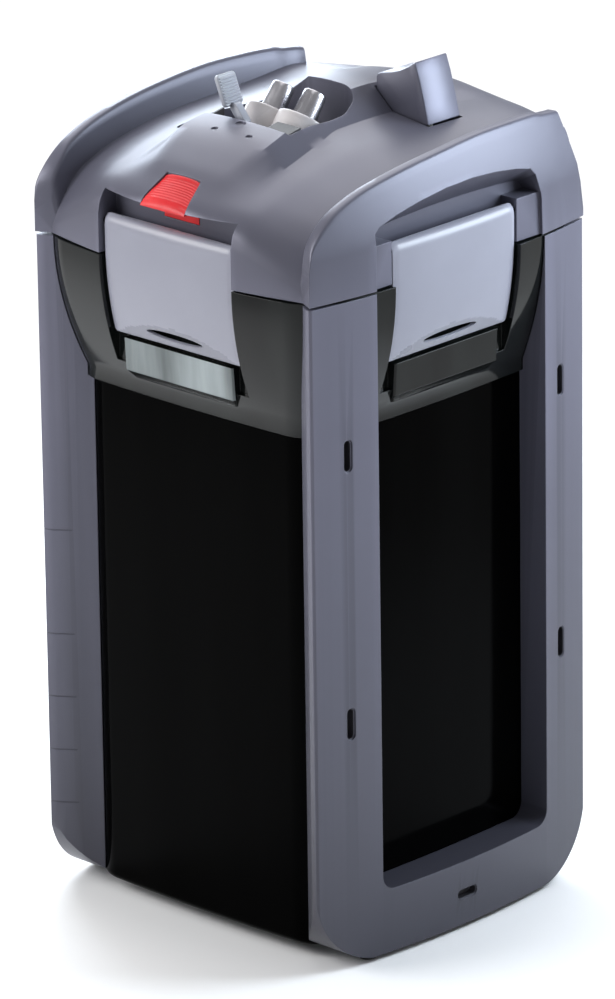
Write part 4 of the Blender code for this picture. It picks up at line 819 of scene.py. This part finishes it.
def pin_line(side, half):
    y = -(SIDES[side] - PIN_INBOARD)
    return turned_point(side, -half, y, CLIP_PIN_Z), turned_point(side, half, y, CLIP_PIN_Z)


def corners(reach):
    return [(sx * reach[0], sy * reach[1]) for sx in (-1, 1) for sy in (-1, 1)]


def make_head():
    """The cover: dome and wings, hollow below, with the recesses for clips, adapter, button and window."""
    rows = [-122.0, -121.4, -120.7, -120.0, -118.5,
            -117.0] + [-114.0 + 4.0 * k for k in range(58)] + [117.0, 119.0, 120.5, 122.0]
    head = lid_solid("head_shell", 0.0, HEAD_BOTTOM - 2.0, rows, (5, 4, 4, 9))
    join(head, wing("left", -1.0), wing("right", 1.0))
    cut(head, box("below_head", (-150.0, -150.0, 380.0), (150.0, 150.0, HEAD_BOTTOM)))
    coarse = (-122, -112, -100, -82, -64, -40, -18, 5, 25, 42, 60, 78, 96, 110, 122)
    cavity = lid_solid("head_cavity", SKIN, HEAD_BOTTOM - 20.0, coarse, (2, 2, 1, 2), CAVITY_X, CAVITY_Y)
    x0, x1, y0, y1, floor = BUTTON_POCKET
    cut(cavity, prism("adapter_walls", inset_outline(ADAPTER_OUTLINE, -3.0), SLEEVE_BOTTOM, 520.0))
    cut(cavity, box("button_walls", (x0 - 3.0, y0 - 3.0, floor - 3.0), (x1 + 3.0, y1 + 3.0, 520.0)))
    for place in corners(SCREW_AT):
        cut(cavity, rod("boss", (*place, HEAD_BOTTOM), (*place, 520.0), 5.5, 24))
    for sx in (-13.0, 13.0):
        cut(cavity, box("flap_lug", (sx - 1.5, -98.5, 439.5), (sx + 1.5, -91.5, 520.0)))
    cut(head, cavity)
    cut(head, prism("adapter_pocket", round_corners(ADAPTER_OUTLINE, 4.0), ADAPTER_FLOOR, 520.0))
    cut(head, box("button_pocket", (x0, y0, floor), (x1, y1, 520.0)))
    for side in ("front", "rear"):
        cut(head, side_box(side + "_bay", side, SIDES[side] - POCKET_BACK, 390.0, POCKET_TOP))
    cut(head, *side_pocket(-1.0), *side_pocket(1.0))
    cut(head, loft("window_cut", lens_rings(0.3, 6)))
    for x in HOSE_X:
        cut(head, rod("sleeve", (x, HOSE_Y, 410.0), (x, HOSE_Y, 450.0), SLEEVE_RADIUS))
    cut(head, rod("piston_hole", (PUMP_X, PUMP_Y, 425.0), (PUMP_X, PUMP_Y, 445.0), 3.6))
    for place in corners(SCREW_AT):
        cut(head, rod("thread", (*place, 390.0), (*place, 420.0), 1.8, 16))
    for side in SIDES:
        start, end = pin_line(side, 59.0)
        cut(head, rod("pin_hole_" + side, start, end, CLIP_BORE, 20))
    px, pz = BUTTON_PIVOT
    cut(head, rod("button_pin_hole", (px, y0 - 2.4, pz), (px, y1 + 2.4, pz), 1.8, 16))
    cut(head, rod("flap_pin_hole", (-17.0, *FLAP_PIVOT), (17.0, *FLAP_PIVOT), 1.3, 16))
    cut(head, rod("gland_hole", (GLAND_AT[0], 80.0, GLAND_AT[1]), (GLAND_AT[0], 130.0, GLAND_AT[1]), 6.4))
    for x, y, reach in DIMPLES:
        floor = head_height(x, y) - 0.7
        shape = [(x + reach * a, y + 0.8 * reach * b) for a, b in circle(1.0, 24)]
        cut(head, prism("dimple", shape, floor, floor + 14.0))
    settle(head)
    dress(head, "pump_head", "head_cover", "grey_casing")


def make_lens():
    lens = loft("window_lens", lens_rings(0.0, 22))
    settle(lens)
    dress(lens, "pump_head", "flow_window", "red_window")


def crease_height(x):
    """Where the crescent facet at a clip's foot begins."""
    rise, margin = CLIP_CREASE
    return CLIP_BOTTOM + rise * (1.0 - (x / (CLIP_HALF - margin)) ** 2)


def clip_face(z, face, x):
    out = face - CLIP_CURVE * (x / CLIP_HALF) ** 2
    if z < 412.0:
        out -= CLIP_TUCK * ((412.0 - z) / (412.0 - CLIP_BOTTOM)) ** 2.2
    return out - 0.16 * max(0.0, crease_height(x) - z)


def make_clip(side):
    """A wide closing clip with a rolled top, a crescent facet at its foot and a finger slot with a lip."""
    face = SIDES[side]
    pin = face - PIN_INBOARD
    levels = [418.0, 415.0, 412.0, 408.0, 402.0, 396.0, 390.0, 384.0, 379.0, 374.0, 370.0, 367.5] + \
             [366.2 - 1.0 * k for k in range(12)]
    levels = [z for z in levels if z > CLIP_BOTTOM] + [CLIP_BOTTOM]
    rings = []
    columns = 40
    for k in range(columns + 1):
        x = CLIP_HALF * (2.0 * k / columns - 1.0)
        front = clip_face(CLIP_PIN_Z, face, x)
        near = min(1.0, (CLIP_HALF - abs(x)) / 2.0)
        pull = 0.8 * (1.0 - math.sqrt(max(0.0, 1.0 - (1.0 - near) ** 2)))
        section = [(pin + out, CLIP_PIN_Z + z - pull) for out, z in CLIP_BARREL]
        section += [(front + out - pull, CLIP_PIN_Z + z - pull) for out, z in CLIP_CROWN]
        section += [(clip_face(z, face, x) - pull, z) for z in levels]
        section += [(clip_face(z, face, x) - CLIP_THICK,
                     max(z, CLIP_BOTTOM + 0.5)) for z in reversed(levels)]
        section.append((pin - 2.5, CLIP_PIN_Z - 5.4))
        rings.append([(x, -out, z) for out, z in section])
    clip = loft("clip_plate_" + side, rings)
    corner = rounded_box((-CLIP_HALF - 1.0, CLIP_BOTTOM - 0.01), (CLIP_HALF + 1.0, 440.0), 4.0)
    combine(clip, prism("corner_trim", corner, -135.0, -80.0, "Y"), "INTERSECT")
    cut(clip, rod("clip_bore", (-60.0, -pin, CLIP_PIN_Z), (60.0, -pin, CLIP_PIN_Z), CLIP_BORE))
    wide, level, tall = CLIP_SLOT
    slot = [(wide * a, level + tall * b) for a, b in circle(1.0, 48)]
    cut(clip, loft("finger_slot", [[(x, -out, z) for x, z in slot] for out in (90.0, 130.0)]))
    turn = {"front": 0.0, "rear": math.pi, "right": 0.5 * math.pi, "left": -0.5 * math.pi}[side]
    settle(clip)
    dress(clip, side + "_clip", "clip_" + side, "silver_plastic")
    clip.data.materials.append(SHADED_FACET)
    # The crescent facet gets the darker silver as painted shade.
    for poly in clip.data.polygons:
        if poly.center.z / MM < crease_height(poly.center.x / MM) - 0.2 and poly.normal.y < -0.4:
            poly.material_index = 1
    clip.data.transform(Matrix.Rotation(turn, 4, "Z"))


# ---- adapter, lever and button

def leaning(x, along):
    """A point on the leaning axis of a hose stub."""
    y, z = LOBE_CENTRE
    return (x, y + along * math.sin(HOSE_LEAN), z + along * math.cos(HOSE_LEAN))


def make_adapter():
    """The flush sill with the lever's slot in front, and the sunken seat of the two lobes behind it."""
    plan = round_corners(inset_outline(ADAPTER_OUTLINE, 0.7), 4.0)
    block = prism("adapter_shell", plan, ADAPTER_FLOOR + 0.4, ADAPTER_TOP)
    x0, x1, y0, y1 = SILL
    front, rear = SILL_TOP
    section = ((y0, ADAPTER_FLOOR + 3.0), (y1, ADAPTER_FLOOR + 3.0), (y1, rear), (y0, front))
    join(block, loft("sill", [[(x, y, z) for y, z in section] for x in (x0, x1)]))
    x0, x1, y0, y1 = LEVER_SLOT
    cut(block, box("lever_slot", (x0, y0, LEVER_SLOT_FLOOR), (x1, y1, 480.0)))
    px, pz = LEVER_PIVOT
    near, far = LEVER_PIN_Y
    cut(block, rod("lever_pin_hole", (px, near - 0.3, pz), (px, far + 0.3, pz), 1.8, 16))
    seat, seat_radius, root = VALVE_HALF + 0.4, VALVE_RADIUS + 0.4, ADAPTER_FLOOR + 2.0
    for x in HOSE_X:
        join(block, rod("spigot", (x, HOSE_Y, SPIGOT_BOTTOM), (x, HOSE_Y, root), SPIGOT_RADIUS))
        cut(block, rod("valve_seat", (x, HOSE_Y - seat, VALVE_Z), (x, HOSE_Y + seat, VALVE_Z), seat_radius))
        cut(block, rod("passage", (x, HOSE_Y, 410.0), (x, HOSE_Y, 470.0), PASSAGE))
    settle(block)
    dress(block, "hose_adapter", "adapter_block", "black_plastic", GREY_DARK)


def lobe(name, x, length):
    rim = [(length - 1.4 + 1.4 * math.sin(a), LOBE_RADIUS - 1.4 * (1.0 - math.cos(a)))
           for a in (0.5 * math.pi * k / 6 for k in range(7))]
    return turned(name, leaning(x, -length), leaning(x, 0.0), [(0.0, LOBE_RADIUS)] + rim, 72)


def make_lobes():
    """The two lobes that hold the stubs, cut off flat at the front and below."""
    left, right = HOSE_X
    lobes = join(lobe("lobes_shell", left, 26.0), lobe("second_lobe", right, 27.0))
    cut(lobes, box("under_lobes", (-80.0, -80.0, 420.0), (60.0, 60.0, ADAPTER_TOP + 0.3)))
    cut(lobes, box("lobe_front", (-80.0, -80.0, 420.0), (60.0, LOBE_FRONT, 520.0)))
    for x in HOSE_X:
        cut(lobes, rod("stub_socket", leaning(x, -STUB_SOCKET), leaning(x, 10.0), STUB_RADIUS + 0.3, 64))
        cut(lobes, rod("lobe_passage", leaning(x, -30.0), leaning(x, 10.0), PASSAGE))
    settle(lobes)
    dress(lobes, "hose_adapter", "twin_collar", "pearl_plastic")


def make_stub(word, x):
    """A smooth hose stub that narrows a little towards its rounded mouth."""
    length = STUB_LENGTH + STUB_SOCKET - 0.3
    outer = [(0.0, 7.0), (0.4, STUB_RADIUS), (5.0, STUB_RADIUS), (length - 3.0, 6.9),
             (length - 0.9, STUB_TIP), (length - 0.3, 6.5), (length, 6.1)]
    inner = [(length, 5.8), (length - 0.5, STUB_BORE), (0.0, STUB_BORE)]
    stub = tube(word + "_stub_shell", leaning(x, -STUB_SOCKET + 0.3), leaning(x, STUB_LENGTH),
                outer + inner, 72)
    settle(stub)
    dress(stub, "hose_adapter", word + "_stub", "dark_chrome")


def paddle_point(across, along, out):
    """A point of the paddle: across it, up along it, and out of its ribbed face."""
    px, pz = LEVER_PIVOT
    foot_x, foot_z = PADDLE_FOOT
    x = px + foot_x - along * math.sin(PADDLE_TILT) + out * math.cos(PADDLE_TILT)
    z = pz + foot_z + along * math.cos(PADDLE_TILT) + out * math.sin(PADDLE_TILT)
    return (x, LEVER_Y + across, z)


def make_lever():
    """A bent stem with a paddle whose face carries rounded ribs."""
    px, pz = LEVER_PIVOT
    outline = [(px + x, pz + z) for x, z in round_corners(LEVER_OUTLINE, 1.2)]
    lever = prism("lever_shell", outline, LEVER_Y - LEVER_HALF, LEVER_Y + LEVER_HALF, "Y")
    wide, long, thick = PADDLE
    half = 0.5 * thick
    layers = []
    for out, pull in ((-half, 0.5), (-half + 0.5, 0.0), (half - 0.5, 0.0), (half, 0.5)):
        plan = rounded_box((pull - 0.5 * wide, pull), (0.5 * wide - pull, long - pull), 2.4)
        layers.append([paddle_point(a, b, out) for a, b in plan])
    join(lever, loft("paddle", layers))
    pitch = (long - 3.0) / LEVER_RIBS
    reach = 0.5 * wide - 1.2
    for k in range(LEVER_RIBS):
        low = 1.7 + k * pitch
        section = ((0.0, half - 0.4), (0.7, half - 0.4), (0.6, half + 0.4), (0.4, half + 0.8),
                   (0.2, half + 0.6), (0.05, half + 0.2))
        join(lever, loft("rib", [[paddle_point(a, low + b * pitch, out) for b,
                                  out in section] for a in (-reach, reach)]))
    cut(lever, rod("lever_bore", (px, -80.0, pz), (px, 0.0, pz), 1.9, 16))
    settle(lever, 0.3)
    dress(lever, "lever", "release_lever", "silver_plastic", LEVER)


def make_button():
    """A wedge with softened sides, hollow below, and the foot that pushes the plunger."""
    y0, y1 = BUTTON_Y
    rings = []
    for y, pull in ((y0, 0.9), (y0 + 0.25, 0.35), (y0 + 0.9, 0.0), (y1 - 0.9, 0.0), (y1 - 0.25, 0.35),
                    (y1, 0.9)):
        outline = inset_outline(BUTTON_PROFILE[::-1], pull) if pull else BUTTON_PROFILE[::-1]
        rings.append([(x, y, z) for x, z in outline])
    button = loft("button_shell", rings)
    px, pz = BUTTON_PIVOT
    cut(button, rod("button_bore", (px, 20.0, pz), (px, 80.0, pz), 1.9, 16))
    hollow = ((27.5, 458.0), (56.0, 458.0), (56.5, 470.0), (51.0, 489.0), (45.0, 489.0), (34.0, 485.0),
              (28.5, 484.0))
    cut(button, prism("button_hollow", hollow, y0 + 2.0, y1 - 2.0, "Y"))
    join(button, box("push_foot", (PUMP_X - 4.0, PUMP_Y - 4.0, 463.8), (PUMP_X + 4.0, PUMP_Y + 4.0, 490.5)))
    settle(button)
    dress(button, "primer", "priming_button", "grey_casing")


# ---- filter media

def heap(name, body, slot, pitch, forms):
    """Loose pieces that fill a solid's block: each cell holds one form, turned by a repeatable angle."""
    low, high = (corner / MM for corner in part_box(name))
    counts = [max(1, int((b - a) // pitch)) for a, b in zip(low, high)]
    points, faces = [], []
    for cell in itertools.product(*map(range, counts)):
        centre = Vector([a + (b - a) * ((n + 0.5) / count) for a, b, n,
                         count in zip(low, high, cell, counts)])
        number = sum(n * stride for n, stride in zip(cell, (73, 151, 211)))
        turn = Matrix.Rotation(number % 17, 3, "X") @ Matrix.Rotation(number % 29, 3, "Z")
        form_points, form_faces = forms[number % len(forms)]
        start = len(points)
        points += [tuple(centre + turn @ Vector(p)) for p in form_points]
        faces += [[start + n for n in face] for face in form_faces]
    piece = solid(name + "_pieces", points, faces)
    settle(piece)
    dress(piece, body, name, slot)


def ring_form(outer, inner, half):
    profile = ((outer, -half), (outer, half), (inner, half), (inner, -half))
    return band([[(radius * a, radius * b, z) for radius, z in profile] for a, b in circle(1.0, 16)], True)


def lump_form(radius, wobble):
    """A rough granule: a ball with uneven latitude rings."""
    rows, count = 5, 9
    points = [(0.0, 0.0, -radius)]
    for row in range(1, rows):
        tilt = math.pi * row / rows
        for n, (a, b) in enumerate(circle(1.0, count)):
            reach = radius * (1.0 - wobble * ((7 * n + 5 * row) % 6) / 6.0)
            points.append((reach * math.sin(tilt) * a, reach * math.sin(tilt) * b, -reach * math.cos(tilt)))
    points.append((0.0, 0.0, radius))
    top = len(points) - 1
    faces = []
    for n in range(count):
        after = (n + 1) % count
        faces.append([0, 1 + after, 1 + n])
        for row in range(rows - 2):
            a = 1 + row * count
            faces.append([a + n, a + after, a + count + after, a + count + n])
        faces.append([top - count + n, top - count + after, top])
    return points, faces


def make_pad(name, slot):
    """A crowned pad whose sides pull in a little between its corners."""
    low, high = (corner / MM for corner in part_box(name))
    tall = high[2] - low[2]
    rings = []
    for share, pull in ((0.0, 3.0), (0.08, 1.4), (0.25, 0.4), (0.5, 0.0), (0.75, 0.4), (0.92, 1.4),
                        (1.0, 3.0)):
        plan = round_corners([(low[0] + pull, low[1] + pull), (high[0] - pull, low[1] + pull),
                              (high[0] - pull, high[1] - pull), (low[0] + pull, high[1] - pull)], 8.0)
        rings.append([(x, y, low[2] + tall * share) for x, y in plan])
    pad = loft(name + "_pad", rings)
    settle(pad)
    dress(pad, "upper_basket_unit", name, slot)


def make_media():
    rings = [ring_form(3.9, 2.2, 3.3), ring_form(3.6, 2.0, 3.6)]
    heap("lower_media", "lower_basket_unit", "ceramic_media", 9.0, rings)
    heap("middle_media", "middle_basket_unit", "porous_media", 7.5,
         [lump_form(4.2, 0.3), lump_form(3.8, 0.2), lump_form(4.4, 0.4)])
    make_pad("fine_pad", "fine_fleece")
    make_pad("coarse_pad", "coarse_foam")


# ---- assembly

def dress_frame():
    """Each carried-over solid gets the finish of its own material slot."""
    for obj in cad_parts.values():
        look = LOOKS[obj.data.materials[0].name]
        obj.data.materials.clear()
        obj.data.materials.append(look)
        shade(obj.data)


def make_floor():
    size = FLOOR_REACH
    points = [(-size, -size, 0.0), (size, -size, 0.0), (size, size, 0.0), (-size, size, 0.0)]
    floor = solid("floor", points, [[0, 1, 2, 3]])
    if floor.data.polygons[0].normal.z < 0.0:
        floor.data.flip_normals()
    floor.data.materials.append(FLOOR)


def direction(azimuth, elevation):
    """The way to a point seen at an azimuth, clockwise from the front, and an elevation."""
    return Vector((math.sin(azimuth) * math.cos(elevation), -math.cos(azimuth) * math.cos(elevation),
                   math.sin(elevation)))


def area_light(name, azimuth, elevation, distance, size, power, aim, tint):
    """A soft box aimed at a point on the object's axis."""
    light = bpy.data.lights.new(name, "AREA")
    light.shape = "RECTANGLE"
    light.size = light.size_y = size
    light.energy = power
    light.color = tint
    lamp = bpy.data.objects.new(name, light)
    bpy.context.scene.collection.objects.link(lamp)
    back = direction(math.radians(azimuth), math.radians(elevation))
    lamp.location = Vector((0.0, 0.0, aim)) + back * distance
    lamp.rotation_mode = "QUATERNION"
    lamp.rotation_quaternion = back.to_track_quat("Z", "Y")


def make_light():
    world = bpy.data.worlds.new("studio")
    bpy.context.scene.world = world
    world.use_nodes = True
    background = world.node_tree.nodes["Background"]
    background.inputs["Color"].default_value = WORLD_TINT
    background.inputs["Strength"].default_value = WORLD_STRENGTH
    for name, values in LIGHT_BOXES.items():
        area_light(name, *values)
    bpy.context.scene.view_settings.view_transform = "Standard"


def make_camera():
    data = bpy.data.cameras.new("camera")
    data.lens = CAMERA_LENS
    data.sensor_width = 36.0
    data.clip_end = 100.0
    camera = bpy.data.objects.new("camera", data)
    bpy.context.scene.collection.objects.link(camera)
    back = direction(CAMERA_AZIMUTH, CAMERA_ELEVATION)
    turn = (-back).to_track_quat("-Z", "Y")
    right, up = turn @ Vector((1.0, 0.0, 0.0)), turn @ Vector((0.0, 1.0, 0.0))
    place = Vector((0.0, 0.0, AIM_HEIGHT)) + back * CAMERA_DISTANCE
    aim = Vector((0.0, 0.0, AIM_HEIGHT)) - right * AIM_LEFT + up * AIM_UP
    camera.location = place
    camera.rotation_mode = "QUATERNION"
    turn = (aim - place).to_track_quat("-Z", "Y")
    camera.rotation_quaternion = turn @ Matrix.Rotation(CAMERA_ROLL, 3, "Z").to_quaternion()
    bpy.context.scene.camera = camera


make_camera()
make_floor()
make_light()
dress_frame()
make_vessel()
make_frame("left", -1.0)
make_frame("right", 1.0)
for word, place in FEET.items():
    make_foot(word, *place)
make_media()
make_head()
make_lens()
for word in SIDES:
    make_clip(word)
make_adapter()
make_lobes()
make_stub("inlet", HOSE_X[0])
make_stub("outlet", HOSE_X[1])
make_lever()
make_button()
